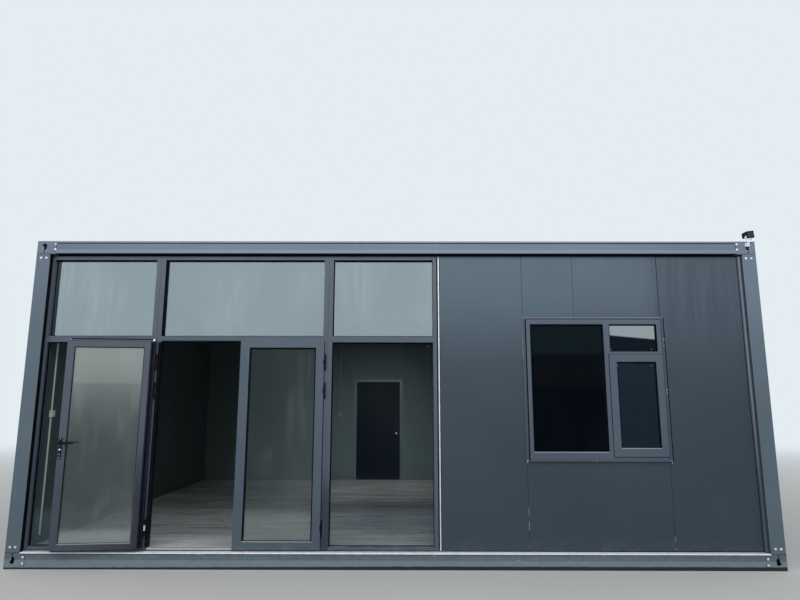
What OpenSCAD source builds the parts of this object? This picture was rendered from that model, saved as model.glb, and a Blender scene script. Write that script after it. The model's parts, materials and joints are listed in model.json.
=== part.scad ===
// Shipping container cabin: two steel framed modules, one behind the other, make one room.
// A glazed screen with a double door fills the left of the front, a window sits in the
// insulated panels at the right, and a plain door leads out at the back.
// Everything is drawn at rest: the left front leaf is folded back in front of the left
// fixed pane, and the right front leaf and the back door are shut.
// Millimetres. +Z is up, the front faces -Y, and the origin is the middle of the footprint
// at ground level. Positions named x_ are measured along the front from its left outer edge.

/* [Overall size] */
// Outside length along the front
cabin_length = 8000; // [7800:10:8400]
// Outside depth of one module, front to back
module_depth = 2995; // [2600:5:3400]
// Outside height from the ground to the roof rim
cabin_height = 3460; // [3400:10:3600]
// Gap between the two modules, closed by a seal
module_gap = 10; // [6:1:16]

/* [Steel frame] */
// Width of a corner post, both ways
post_width = 150; // [130:1:152]
// Height of the beams round the base
base_height = 160; // [140:1:160]
// Height of the beams round the roof
roof_height = 145; // [130:1:160]
// Length of a corner block along each beam
block_length = 210; // [190:1:240]

/* [Walls] */
// Thickness of the insulated wall panels and of the glazing frame
wall_thickness = 75; // [70:1:85]
// How far the wall faces sit behind the faces of the posts
wall_recess = 65; // [60:1:75]
// Module width of the panels in the end walls and the back wall
panel_module = 950; // [850:10:1150]
// Width of the front panel beside the right post
right_panel_width = 908; // [860:1:950]

/* [Glazed screen] */
// Clear width of the left bay
left_bay = 1145; // [1080:1:1200]
// Width of each upright beside the doorway
upright_width = 102; // [90:1:110]
// Clear width of the doorway
doorway_width = 1781; // [1740:1:1820]
// Clear width of the right bay
right_bay = 1105; // [1000:1:1140]
// Height of the underside of the transom
transom_z = 2335; // [2335:1:2420]
// Height of the transom bar
transom_height = 65; // [55:1:80]

/* [Front door leaves] */
// Clear width that the left leaf closes
left_leaf_clear = 880; // [860:1:900]
// Thickness of a door leaf
leaf_thickness = 55; // [50:1:60]
// Width of the stile on the hinge side of a leaf
stile_width = 88; // [80:1:96]
// Angle through which the left leaf stands open
left_leaf_open = 174; // [90:1:177]

/* [Window] */
// Width of the wall bay that holds the window
window_bay = 1510; // [1450:1:1560]
// Height of the underside of the window
window_z = 1072; // [1000:1:1150]
// Height of the window frame
window_height = 1517; // [1450:1:1560]

/* [Back door] */
// Clear width of the back doorway
back_door_width = 870; // [800:1:950]
// Height of the top of the back doorway
back_door_top = 2110; // [2000:1:2200]
// Distance from the left end to the back doorway
back_door_x = 3160; // [2600:10:3600]

/* [Hidden] */
$fn = 48;

steel_dark = [0.30, 0.34, 0.38];
panel_dark = [0.27, 0.30, 0.34];
frame_grey = [0.31, 0.33, 0.38];
pane_tint = [0.45, 0.50, 0.52, 0.4];
zinc = [0.80, 0.82, 0.84];
black = [0.05, 0.05, 0.06];
floor_grey = [0.48, 0.49, 0.49];
board_white = [0.88, 0.88, 0.86];

half_length = cabin_length / 2;
half_depth = module_depth + module_gap / 2;
half_module = module_depth / 2;
module_y = half_depth - half_module;
roof_z = cabin_height - roof_height;
track_height = 15;
track_recess = 30;
wall_z0 = base_height + track_height;
wall_z1 = roof_z - track_height;
front_face = -half_depth + wall_recess;
front_inner = front_face + wall_thickness;
end_face = half_length - wall_recess;
end_inner = end_face - wall_thickness;
post_x = half_length - post_width;
post_y = half_depth - post_width;
deck_thickness = 22;
floor_z = base_height + deck_thickness;
board_gap = 4;

// Sections of the steel frame
post_wall = 5;
beam_wall = 5;
roof_wall = 4;
flange_depth = 150;
rim_lip = 40;
rim_drop = 24;
roof_lip_height = 18;
roof_groove = 9;
roof_face_setback = 6;
roof_inset = roof_wall + roof_face_setback;
roof_bulge_low = 38;
roof_bulge_high = 64;
block_wall = 8;
block_hole = 80;
block_slot_width = 52;
block_slot_height = 74;
base_slot_rise = 6;
roof_slot_rise = 8;
lift_slot_length = 100;
lift_slot_width = 56;
floor_joist_count = 10;
floor_joist_flange = 50;
floor_joist_wall = 3;
joist_end_gap = 410;
roof_joist_count = 8;
roof_joist_flange = 40;
roof_joist_wall = 2;
ceiling_core = 45;
roof_joist_height = 39;
sheet_wall = 1.2;
sheet_rib_height = 28;
sheet_rib_count = 30;
rain_cap_overhang = 30;
rain_cap_thickness = 3;

// Glazed screen, positions along the front
x_screen0 = post_width;
left_jamb = 30;
right_jamb = 48;
x_left_bay = x_screen0 + left_jamb;
x_upright_1 = x_left_bay + left_bay;
x_door_0 = x_upright_1 + upright_width;
x_door_1 = x_door_0 + doorway_width;
x_upright_2 = x_door_1;
x_right_bay = x_upright_2 + upright_width;
x_right_jamb = x_right_bay + right_bay;
x_screen1 = x_right_jamb + right_jamb;
head_height = 40;
bottom_rail_height = 30;
groove_width = 2;
groove_depth = 8;
glass_recess = 54;
glass_thickness = 16;
edge_trim_width = 16;
edge_trim_gap = 9;
edge_trim_foot = 45;
x_panels = x_screen1 + edge_trim_gap + edge_trim_width;
panel_groove = 1.5;
panel_skin = 10;
panel_end_gap = 0.5;

// Window bay, held by the width of the panel at its right
post_trim_width = 30;
post_trim_proud = 25;
x_wall_end = cabin_length - post_width - post_trim_width;
x_window_1 = x_wall_end - right_panel_width;
x_window_0 = x_window_1 - window_bay;
window_top = window_z + window_height;
over_window_joint = 566;
window_filler = 30;
window_jamb_left = 45;
window_left_light = 803;
window_mullion = 64;
window_jamb_right = 47;
window_head = 51;
window_bottom = 90;
window_bar = 44;
vent_height = 301;
window_proud = 5;
window_depth = 65;
x_frame_0 = x_window_0 + window_filler;
x_left_light = x_frame_0 + window_jamb_left;
x_mullion = x_left_light + window_left_light;
x_right_light = x_mullion + window_mullion;
x_jamb_right = x_window_1 - window_jamb_right;
window_y = front_face - window_proud;
frame_top = window_top - window_head;
vent_z = frame_top - vent_height;
sash_z0 = window_z + window_bottom;
sash_z1 = vent_z - window_bar;
sash_lip = 12;
sash_lap_left = 17;
sash_lap_right = 40;
sash_lap_low = 39;
sash_lap_high = 12;
sash_body = 45;
sash_stile_left = 60;
sash_stile_right = 33;
sash_rail_low = 42;
sash_rail_high = 67;
window_glass_recess = 27;
flashing_sheet = 3;
flashing_left = 12;
flashing_right = 30;
flashing_top = 26;
sill_projection = 28;
sill_height = 12;
sill_overhang = 10;

// Front door leaves, drawn shut
leaf_proud = 15;
leaf_lip = 10;
leaf_overlap = 16;
leaf_clearance = 5;
leaf_under = 18;
leaf_glass_thickness = 20;
leaf_glass_recess = 23;
leaf_top_overlap = 29;
leaf_top_rail = 89;
leaf_bottom_rail = 76;
meeting_gap = 10;
left_meeting_stile = 74;
right_meeting_stile = 98;
sill_rise = 15;
sill_rise_depth = 36;
leaf_floor_gap = 6;
leaf_z0 = base_height + leaf_under;
leaf_z1 = transom_z + leaf_top_overlap;
leaf_body_z0 = floor_z + sill_rise + leaf_floor_gap;
leaf_body_z1 = transom_z - leaf_clearance;
x_meeting = x_door_0 + left_leaf_clear;
x_left_leaf_0 = x_door_0 - leaf_overlap;
x_left_leaf_1 = x_meeting - meeting_gap / 2;
x_right_leaf_0 = x_meeting + meeting_gap / 2;
x_right_leaf_1 = x_door_1 + leaf_overlap;
leaf_front = front_face - leaf_proud;
leaf_back = leaf_front + leaf_thickness;
leaf_glass_y = leaf_front + leaf_glass_recess;
x_left_glass_0 = x_left_leaf_0 + stile_width;
x_left_glass_1 = x_meeting - left_meeting_stile;
x_right_glass_0 = x_right_leaf_0 + right_meeting_stile;
x_right_glass_1 = x_right_leaf_1 - stile_width;
glass_z0 = leaf_z0 + leaf_bottom_rail;
glass_z1 = leaf_z1 - leaf_top_rail;

// Hinges
hinge_out = 23;
hinge_edge = 14;
knuckle_r = 9;
pin_r = 5;
pin_clearance = 0.08;
hinge_length = 165;
hinge_tab = 7;
hinge_tab_thickness = 4;
arm_in = 5;
arm_out = 7;
x_left_axis = x_left_leaf_0 - hinge_edge;
x_right_axis = x_right_leaf_1 + hinge_edge;
hinge_y = front_face - hinge_out;
hinge_heights = [396, 1810, 2118];

// Lever handle of the left leaf
lever_z = 1265;
lever_backset = 30;
lever_length = 140;
lever_bar = 12;
lever_r = 10;
lever_projection = 50;
spindle_r = 6;
spindle_clearance = 2;
plate_width = 30;
plate_thickness = 8;
plate_below = 160;
plate_above = 52;
x_lever = x_meeting - lever_backset;

// Back door: the same pattern of frame and leaf, mirrored to the back
back_frame = 50;
back_leaf_thickness = 55;
back_leaf_z0 = floor_z + leaf_floor_gap;
x_back_1 = back_door_x + back_door_width;
x_back_axis = back_door_x - leaf_overlap - hinge_edge;
back_hinge_heights = [420, 1150, 1880];
knob_r = 24;
knob_neck_r = 10;
knob_projection = 55;
knob_rose_r = 27;
knob_rose = 6;
knob_backset = 70;
knob_z = 1180;

// Yard lamp
lamp_from_end = 60;
lamp_left = 52;
lamp_right = 46;
lamp_strap = 4;
lamp_pivot = 70;
lamp_base = 36;
lamp_rim = 104;
lamp_top = 112;
lamp_back = 32;
lamp_front = 38;
lamp_peak = 8;
lamp_tip = 9;
lamp_yaw = 14;

// Box between two corners
module bx(x0, x1, y0, y1, z0, z1) {
  translate([x0, y0, z0]) cube([x1 - x0, y1 - y0, z1 - z0]);
}

// Box with its x measured along the front from the left outer edge
module front_box(x0, x1, y0, y1, z0, z1) {
  bx(x0 - half_length, x1 - half_length, y0, y1, z0, z1);
}

// Section drawn in Y and Z, run along X between x0 and x1
module along_x(x0, x1) {
  translate([x0, 0, 0]) rotate([90, 0, 90]) linear_extrude(height = x1 - x0) children();
}

// Section drawn in X and Z, run along Y between y0 and y1
module along_y(y0, y1) {
  translate([0, y1, 0]) rotate([90, 0, 0]) linear_extrude(height = y1 - y0) children();
}

module both_x() {
  children();
  mirror([1, 0, 0]) children();
}

module both_y() {
  children();
  mirror([0, 1, 0]) children();
}

// What is drawn about the middle of one module, placed in the front and the back module
module each_module() {
  for (y = [-module_y, module_y]) translate([0, y, 0]) children();
}

// Open channel of a base beam, with a pressed line along its face
module base_beam_section() {
  h = base_height;
  polygon([
    [0, 0], [flange_depth, 0], [flange_depth, beam_wall], [beam_wall, beam_wall],
    [beam_wall, h - beam_wall], [flange_depth, h - beam_wall], [flange_depth, h], [0, h],
    [0, h - 34], [2.5, h - 38], [2.5, h - 42], [0, h - 46]
  ]);
}

// Open channel of a roof beam. Its face has a lip and a groove at the top, a flat that is
// set back, and a rounded gutter band at the bottom. A lip at the back keeps rain in.
module roof_beam_section(top_depth) {
  h = roof_height;
  w = roof_wall;
  lip = h - roof_lip_height;
  s = roof_face_setback;
  g = roof_groove;
  low = roof_bulge_low;
  high = roof_bulge_high;
  polygon([
    [7, 0], [flange_depth, 0], [flange_depth, w], [9, w], [w + 2, 8], [w, 14], [w, low],
    [s + w, high], [s + w, lip - 9], [g + w, lip - 7], [g + w, h - w],
    [top_depth - w, h - w], [top_depth - w, h - rim_drop], [top_depth, h - rim_drop],
    [top_depth, h], [0, h], [0, lip], [g, lip - 1], [g, lip - 6], [s, lip - 8],
    [s, high], [0, low], [0, 12], [2, 5]
  ]);
}

module base_long_beams() {
  color(steel_dark) each_module() both_y()
    along_x(-half_length + block_length, half_length - block_length)
      translate([-half_module, 0]) base_beam_section();
}

module base_end_beams() {
  color(steel_dark) each_module() both_x()
    along_y(-half_module + block_length, half_module - block_length)
      translate([-half_length, 0]) base_beam_section();
}

// Slot with round ends, long way up, cut along Y
module slot_y(w, h, depth) {
  rotate([90, 0, 0]) linear_extrude(height = depth, center = true) union() {
    square([w, h - w], center = true);
    translate([0, (h - w) / 2]) circle(r = w / 2);
    translate([0, -(h - w) / 2]) circle(r = w / 2);
  }
}

// Slot with round ends, long way along X, cut along Z
module slot_z(l, w, depth) {
  linear_extrude(height = depth, center = true) union() {
    square([l - w, w], center = true);
    translate([(l - w) / 2, 0]) circle(r = w / 2);
    translate([-(l - w) / 2, 0]) circle(r = w / 2);
  }
}

// Welded plate corner at the front left of a module, open towards the inside of the frame
module corner_block(h, hole_z, lift_z) {
  t = block_wall;
  s = block_length;
  translate([-half_length, -half_module, 0]) difference() {
    cube([s, s, h]);
    translate([t, t, t]) cube([s, s, h - 2 * t]);
    translate([block_hole, 0, hole_z])
      slot_y(block_slot_width, block_slot_height, 4 * t);
    translate([0, block_hole, hole_z]) rotate([0, 0, 90])
      slot_y(block_slot_width, block_slot_height, 4 * t);
    translate([block_hole, block_hole, lift_z]) rotate([0, 0, 45])
      slot_z(lift_slot_length, lift_slot_width, 4 * t);
  }
}

module four_corners() {
  each_module() both_x() both_y() children();
}

module base_corner_blocks() {
  color(steel_dark) four_corners()
    corner_block(base_height, base_height / 2 + base_slot_rise, 0);
}

module roof_corner_blocks() {
  color(steel_dark) four_corners() translate([0, 0, roof_z])
    corner_block(roof_height, roof_height / 2 + roof_slot_rise, roof_height);
}

// Channel laid on its side, as a joist
module joist_section(flange, wall, z0, z1) {
  polygon([
    [0, z0], [flange, z0], [flange, z0 + wall], [wall, z0 + wall],
    [wall, z1 - wall], [flange, z1 - wall], [flange, z1], [0, z1]
  ]);
}

module joist_row(count, flange, wall, z0, z1, y1) {
  span = cabin_length - 2 * joist_end_gap;
  each_module() for (i = [0 : count - 1])
    along_y(-y1, y1) translate([-span / 2 + i * (span - flange) / (count - 1), 0])
      joist_section(flange, wall, z0, z1);
}

module floor_joists() {
  color(steel_dark) joist_row(floor_joist_count, floor_joist_flange, floor_joist_wall,
    beam_wall, base_height - beam_wall, half_module - beam_wall);
}

module roof_joists() {
  z0 = roof_z + ceiling_core;
  color(steel_dark) joist_row(roof_joist_count, roof_joist_flange, roof_joist_wall,
    z0, z0 + roof_joist_height, half_module - roof_inset - 1);
}

// Board that fills one module's half of the room between the walls and the posts
module room_board(z0, z1) {
  bx(-post_x, post_x, front_inner, -board_gap / 2, z0, z1);
  bx(-end_inner, end_inner, -post_y, -module_gap / 2 - post_width, z0, z1);
}

module floor_deck() {
  color(floor_grey) both_y() room_board(base_height, floor_z);
}

module ceiling() {
  color(board_white) both_y() {
    room_board(wall_z1, roof_z);
    translate([0, -module_y, 0])
      bx(-half_length + block_length, half_length - block_length,
        -half_module + flange_depth, half_module - flange_depth,
        roof_z, roof_z + ceiling_core);
  }
}

module corner_posts() {
  t = post_wall;
  h = roof_z - base_height;
  color(steel_dark) four_corners()
    translate([-half_length, -half_module, base_height]) difference() {
      cube([post_width, post_width, h]);
      translate([t, t, -1]) cube([post_width - 2 * t, post_width - 2 * t, h + 2]);
    }
}

// Pressed return beside the front right post, set back from the face of the post
module post_trim() {
  color(steel_dark)
    front_box(x_wall_end, cabin_length - post_width, front_face - post_trim_proud,
      front_inner, wall_z0, wall_z1);
}

module roof_long_beams() {
  color(steel_dark) each_module() both_y()
    along_x(-half_length + block_length, half_length - block_length)
      translate([-half_module, roof_z]) roof_beam_section(rim_lip);
}

module roof_end_beams() {
  color(steel_dark) each_module() both_x()
    along_y(-half_module + block_length, half_module - block_length)
      translate([-half_length, roof_z]) roof_beam_section(block_length);
}

// Trapezoidal steel roofing laid below the rim of each module
module roof_sheets() {
  width = cabin_length - 2 * block_length;
  n = sheet_rib_count;
  pitch = width / n;
  flat = pitch * 0.45;
  slope = pitch * 0.10;
  h = sheet_rib_height;
  z0 = roof_z + ceiling_core + roof_joist_height;
  z1 = z0 + sheet_wall;
  rib = [[0, 0], [flat, 0], [flat + slope, h], [pitch - slope, h]];
  top = [for (i = [0 : n - 1], p = rib) [-width / 2 + i * pitch + p[0], z1 + p[1]]];
  low = [for (i = [n - 1 : -1 : 0], k = [3 : -1 : 0])
    [-width / 2 + i * pitch + rib[k][0], z0 + rib[k][1]]];
  color(zinc) each_module() along_y(-half_module + roof_inset, half_module - roof_inset)
    polygon(concat(top, [[width / 2, z1], [width / 2, z0]], low));
}

// Seals between the modules: one at each end, and a cap over the roof joint
module module_joint_seals() {
  color(black) {
    both_x() bx(post_x, half_length - 6, -module_gap / 2, module_gap / 2,
      base_height, roof_z);
    bx(-half_length + block_length, half_length - block_length,
      -module_gap / 2 - rain_cap_overhang, module_gap / 2 + rain_cap_overhang,
      cabin_height, cabin_height + rain_cap_thickness);
  }
}

// Dark channels that the walls stand in and that hold their heads, set back to leave a
// shadow line
module tracks(z0) {
  both_y() bx(-post_x, post_x, front_face + track_recess, front_inner,
    z0, z0 + track_height);
  both_x() both_y() bx(end_inner, end_face - track_recess,
    -post_y, -module_gap / 2 - post_width, z0, z0 + track_height);
}

module wall_tracks() {
  color(black) {
    tracks(base_height);
    tracks(wall_z1);
  }
}

// Plan of a sandwich panel: the skins stop short of the joint and the cores meet, so a
// fine groove shows on both faces
module panel_plan(w) {
  g = panel_groove;
  d = panel_skin;
  t = wall_thickness;
  polygon([
    [g, 0], [w - g, 0], [w - g, d], [w, d], [w, t - d], [w - g, t - d],
    [w - g, t], [g, t], [g, t - d], [0, t - d], [0, d], [g, d]
  ]);
}

module wall_panel(w, z0, z1) {
  translate([0, 0, z0]) linear_extrude(height = z1 - z0) panel_plan(w);
}

// Panel or row of panels with its outer face along the front, from x0 to x1
module front_panel(x0, x1, z0, z1) {
  translate([x0 - half_length, front_face, 0]) wall_panel(x1 - x0, z0, z1);
}

// Equal panels, as near the module width as fits, from 0 to length, clear of both ends
module panel_row(length) {
  run = length - 2 * panel_end_gap;
  n = max(1, round(run / panel_module));
  for (i = [0 : n - 1]) translate([panel_end_gap + i * run / n, 0, 0])
    wall_panel(run / n, wall_z0, wall_z1);
}

module front_panel_left() {
  color(panel_dark) front_panel(x_panels, x_window_0, wall_z0, wall_z1);
}

module front_panels_over_window() {
  x_joint = x_window_0 + over_window_joint;
  color(panel_dark) {
    front_panel(x_window_0, x_joint, window_top, wall_z1);
    front_panel(x_joint, x_window_1, window_top, wall_z1);
  }
}

module front_panel_under_window() {
  color(panel_dark) front_panel(x_window_0, x_window_1, wall_z0, window_z);
}

module front_panel_right() {
  color(panel_dark) front_panel(x_window_1, x_wall_end, wall_z0, wall_z1);
}

module end_walls() {
  y0 = module_gap / 2 + post_width;
  color(panel_dark) both_x() both_y()
    translate([-end_face, -y0, 0]) rotate([0, 0, -90]) panel_row(post_y - y0);
}

module back_wall_left() {
  x1 = back_door_x - back_frame;
  color(panel_dark) mirror([0, 1, 0])
    translate([-post_x, front_face, 0]) panel_row(x1 - post_width);
}

module back_wall_right() {
  x0 = x_back_1 + back_frame;
  color(panel_dark) mirror([0, 1, 0])
    translate([x0 - half_length, front_face, 0]) panel_row(cabin_length - post_width - x0);
}

module back_wall_over_door() {
  color(panel_dark) mirror([0, 1, 0])
    front_panel(back_door_x - back_frame, x_back_1 + back_frame,
      back_door_top + back_frame, wall_z1);
}

module screen_frame() {
  z1 = wall_z1 - head_height;
  color(frame_grey) {
    front_box(x_screen0, x_screen1, front_face, front_inner, z1, wall_z1);
    front_box(x_screen0, x_left_bay, front_face, front_inner, wall_z0, z1);
    front_box(x_right_jamb, x_screen1, front_face, front_inner, wall_z0, z1);
  }
}

// Two bars bolted side by side, with the joint showing as a fine groove
module upright(x0) {
  c = upright_width / 2;
  g = groove_width / 2;
  translate([x0 - half_length, front_face, wall_z0])
    linear_extrude(height = wall_z1 - head_height - wall_z0)
      polygon([
        [0, 0], [c - g, 0], [c - g, groove_depth], [c + g, groove_depth], [c + g, 0],
        [2 * c, 0], [2 * c, wall_thickness], [0, wall_thickness]
      ]);
}

module screen_uprights() {
  color(frame_grey) {
    upright(x_upright_1);
    upright(x_upright_2);
  }
}

module rail(x0, x1, z0, h) {
  front_box(x0, x1, front_face, front_inner, z0, z0 + h);
}

// Transoms across all three bays, and bottom rails under the two fixed panes
module screen_rails() {
  color(frame_grey) {
    rail(x_left_bay, x_upright_1, transom_z, transom_height);
    rail(x_door_0, x_door_1, transom_z, transom_height);
    rail(x_right_bay, x_right_jamb, transom_z, transom_height);
    rail(x_left_bay, x_upright_1, wall_z0, bottom_rail_height);
    rail(x_right_bay, x_right_jamb, wall_z0, bottom_rail_height);
  }
}

// Sill of the front doorway, with a raised nose that the leaves close over
module door_threshold() {
  color(zinc) {
    front_box(x_door_0, x_door_1, front_face, front_inner, wall_z0, floor_z);
    front_box(x_door_0, x_door_1, front_face, front_face + sill_rise_depth,
      floor_z, floor_z + sill_rise);
  }
}

module pane(x0, x1, z0, z1) {
  y0 = front_face + glass_recess;
  front_box(x0, x1, y0, y0 + glass_thickness, z0, z1);
}

module upper_panes() {
  z0 = transom_z + transom_height;
  z1 = wall_z1 - head_height;
  color(pane_tint) {
    pane(x_left_bay, x_upright_1, z0, z1);
    pane(x_door_0, x_door_1, z0, z1);
    pane(x_right_bay, x_right_jamb, z0, z1);
  }
}

module fixed_panes() {
  z0 = wall_z0 + bottom_rail_height;
  color(pane_tint) {
    pane(x_left_bay, x_upright_1, z0, transom_z);
    pane(x_right_bay, x_right_jamb, z0, transom_z);
  }
}

// Bare metal strip between the screen and the first panel, on a foot that closes the gap
module edge_trim() {
  w = edge_trim_gap + edge_trim_width;
  y = wall_thickness - edge_trim_foot;
  color(zinc) translate([x_screen1 - half_length, front_face, wall_z0])
    linear_extrude(height = wall_z1 - wall_z0)
      polygon([
        [edge_trim_gap, 0], [w, 0], [w, wall_thickness], [0, wall_thickness],
        [0, y], [edge_trim_gap, y]
      ]);
}

// One hinge's fixed half about the origin: two knuckles on arms, and the pin between.
// side is -1 where the leaf lies at +x of the axis, and 1 where it lies at -x.
module fixed_hinge(side) {
  third = hinge_length / 3;
  x0 = side < 0 ? -arm_out : -arm_in;
  x1 = side < 0 ? arm_in : arm_out;
  for (z = [-hinge_length / 2, third / 2 + 1]) translate([0, 0, z]) {
    cylinder(r = knuckle_r, h = third - 1);
    bx(x0, x1, 0, hinge_out, 0, third - 1);
  }
  translate([0, 0, -hinge_length / 2]) cylinder(r = pin_r, h = hinge_length);
}

module frame_hinges() {
  color(black) {
    for (h = hinge_heights) {
      translate([x_left_axis - half_length, hinge_y, h]) fixed_hinge(-1);
      translate([x_right_axis - half_length, hinge_y, h]) fixed_hinge(1);
    }
    mirror([0, 1, 0]) for (h = back_hinge_heights)
      translate([x_back_axis - half_length, hinge_y, h]) fixed_hinge(-1);
  }
}

// One hinge's moving half about the origin: a knuckle and a tab that lies on the leaf
module moving_hinge(side) {
  third = hinge_length / 3;
  reach = hinge_edge + hinge_tab;
  y1 = hinge_out - leaf_proud;
  x0 = side < 0 ? 0 : -reach;
  translate([0, 0, -third / 2]) difference() {
    union() {
      cylinder(r = knuckle_r, h = third);
      bx(x0, x0 + reach, y1 - hinge_tab_thickness, y1, 0, third);
    }
    translate([0, 0, -1]) cylinder(r = pin_r + pin_clearance, h = third + 2);
  }
}

// Turns what is drawn with the left leaf shut to its place at rest
module left_leaf_at_rest() {
  translate([x_left_axis - half_length, hinge_y, 0])
    rotate([0, 0, -left_leaf_open])
      translate([half_length - x_left_axis, -hinge_y, 0]) children();
}

// Round bar along Y through a point of the left leaf
module lever_bar_y(x, z, r, y0, y1) {
  translate([x - half_length, y1, z]) rotate([90, 0, 0]) cylinder(r = r, h = y1 - y0);
}

module left_leaf_frame() {
  color(frame_grey) left_leaf_at_rest() difference() {
    union() {
      front_box(x_left_leaf_0, x_left_leaf_1, leaf_front, leaf_front + leaf_lip,
        leaf_z0, leaf_z1);
      front_box(x_door_0 + leaf_clearance, x_left_leaf_1, leaf_front,
        leaf_back, leaf_body_z0, leaf_body_z1);
    }
    front_box(x_left_glass_0, x_left_glass_1, leaf_front - 10, leaf_back + 10,
      glass_z0, glass_z1);
    lever_bar_y(x_lever, lever_z, spindle_r + spindle_clearance,
      leaf_front - 10, leaf_back + 10);
  }
}

module left_leaf_glass() {
  color(pane_tint) left_leaf_at_rest()
    front_box(x_left_glass_0, x_left_glass_1, leaf_glass_y,
      leaf_glass_y + leaf_glass_thickness, glass_z0, glass_z1);
}

// Moving hinge halves, and the long back plates of the lever handle on both faces
module left_leaf_fittings() {
  color(black) left_leaf_at_rest() {
    for (h = hinge_heights)
      translate([x_left_axis - half_length, hinge_y, h]) moving_hinge(-1);
    difference() {
      for (y = [leaf_front - plate_thickness, leaf_back])
        front_box(x_lever - plate_width / 2, x_lever + plate_width / 2,
          y, y + plate_thickness, lever_z - plate_below, lever_z + plate_above);
      lever_bar_y(x_lever, lever_z, lever_r + pin_clearance,
        leaf_front - 20, leaf_back + 20);
    }
  }
}

// Both levers on their spindle, pointing towards the hinges
module left_leaf_levers() {
  y0 = leaf_front - lever_projection;
  y1 = leaf_back + lever_projection;
  neck = lever_projection - plate_thickness;
  color(black) left_leaf_at_rest() union() {
    lever_bar_y(x_lever, lever_z, spindle_r, y0, y1);
    lever_bar_y(x_lever, lever_z, lever_r, y0, y0 + neck);
    lever_bar_y(x_lever, lever_z, lever_r, y1 - neck, y1);
    for (y = [y0, y1 - lever_bar]) {
      front_box(x_lever - lever_length, x_lever, y, y + lever_bar,
        lever_z - lever_r, lever_z + lever_r);
      lever_bar_y(x_lever - lever_length, lever_z, lever_r, y, y + lever_bar);
    }
  }
}

module right_leaf_frame() {
  color(frame_grey) difference() {
    union() {
      front_box(x_right_leaf_0, x_right_leaf_1, leaf_front, leaf_front + leaf_lip,
        leaf_z0, leaf_z1);
      front_box(x_right_leaf_0, x_door_1 - leaf_clearance, leaf_front, leaf_back,
        leaf_body_z0, leaf_body_z1);
    }
    front_box(x_right_glass_0, x_right_glass_1, leaf_front - 10, leaf_back + 10,
      glass_z0, glass_z1);
  }
}

module right_leaf_glass() {
  color(pane_tint) front_box(x_right_glass_0, x_right_glass_1, leaf_glass_y,
    leaf_glass_y + leaf_glass_thickness, glass_z0, glass_z1);
}

module right_leaf_hinges() {
  color(black) for (h = hinge_heights)
    translate([x_right_axis - half_length, hinge_y, h]) moving_hinge(1);
}

module window_frame() {
  y0 = window_y - 1;
  y1 = window_y + window_depth;
  color(frame_grey) difference() {
    front_box(x_frame_0, x_window_1, window_y, y1, window_z, window_top);
    front_box(x_left_light, x_mullion, y0, y1 + 1, sash_z0, frame_top);
    front_box(x_right_light, x_jamb_right, y0, y1 + 1, sash_z0, sash_z1);
    front_box(x_right_light, x_jamb_right, y0, y1 + 1, vent_z, frame_top);
  }
}

// Opening light: its front lip laps over the window frame all round
module window_sash() {
  color(frame_grey) difference() {
    union() {
      front_box(x_right_light - sash_lap_left, x_jamb_right + sash_lap_right,
        window_y - sash_lip, window_y, sash_z0 - sash_lap_low, sash_z1 + sash_lap_high);
      front_box(x_right_light, x_jamb_right, window_y - 1, window_y + sash_body,
        sash_z0, sash_z1);
    }
    front_box(x_right_light + sash_stile_left, x_jamb_right - sash_stile_right,
      window_y - sash_lip - 1, window_y + sash_body + 1,
      sash_z0 + sash_rail_low, sash_z1 - sash_rail_high);
  }
}

module window_glass() {
  y0 = window_y + window_glass_recess;
  y1 = window_y + 10;
  t = glass_thickness;
  color(pane_tint) {
    front_box(x_left_light, x_mullion, y0, y0 + t, sash_z0, frame_top);
    front_box(x_right_light, x_jamb_right, y0, y0 + t, vent_z, frame_top);
    front_box(x_right_light + sash_stile_left, x_jamb_right - sash_stile_right,
      y1, y1 + t, sash_z0 + sash_rail_low, sash_z1 - sash_rail_high);
  }
}

// Folded sheet round the window, its filler at the left, and the sill that sheds water
module window_flashing() {
  color(panel_dark) {
    difference() {
      front_box(x_window_0 - flashing_left, x_window_1 + flashing_right,
        front_face - flashing_sheet, front_face, window_z, window_top + flashing_top);
      front_box(x_frame_0, x_window_1, front_face - 10, front_face + 10,
        window_z - 10, window_top);
    }
    front_box(x_window_0, x_frame_0, front_face, front_inner, window_z, window_top);
    front_box(x_frame_0 - sill_overhang, x_window_1 + sill_overhang,
      front_face - sill_projection, window_y, window_z, window_z + sill_height);
  }
}

module back_door_frame() {
  z1 = back_door_top + back_frame;
  color(frame_grey) mirror([0, 1, 0]) {
    front_box(back_door_x - back_frame, back_door_x, front_face, front_inner,
      wall_z0, z1);
    front_box(x_back_1, x_back_1 + back_frame, front_face, front_inner, wall_z0, z1);
    front_box(back_door_x, x_back_1, front_face, front_inner, back_door_top, z1);
    front_box(back_door_x, x_back_1, front_face, front_inner, wall_z0, floor_z);
  }
}

// Flush insulated leaf with a lip that laps over the frame on the outside
module back_door_leaf() {
  color(frame_grey) mirror([0, 1, 0]) union() {
    front_box(back_door_x - leaf_overlap, x_back_1 + leaf_overlap,
      leaf_front, leaf_front + leaf_lip, leaf_z0, back_door_top + leaf_overlap);
    front_box(back_door_x + leaf_clearance, x_back_1 - leaf_clearance,
      leaf_front, leaf_front + back_leaf_thickness, back_leaf_z0,
      back_door_top - leaf_clearance);
  }
}

// Moving hinge halves and a round knob on both faces
module back_door_fittings() {
  x = x_back_1 - knob_backset;
  color(black) mirror([0, 1, 0]) {
    for (h = back_hinge_heights)
      translate([x_back_axis - half_length, hinge_y, h]) moving_hinge(-1);
    for (s = [0, 1]) {
      y = s == 0 ? leaf_front : leaf_front + back_leaf_thickness;
      translate([x - half_length, y, knob_z]) rotate([s == 0 ? 90 : -90, 0, 0]) {
        cylinder(r = knob_rose_r, h = knob_rose);
        cylinder(r = knob_neck_r, h = knob_projection - 10);
        translate([0, 0, knob_projection - 30]) cylinder(r = knob_r, h = 30);
      }
    }
  }
}

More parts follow.
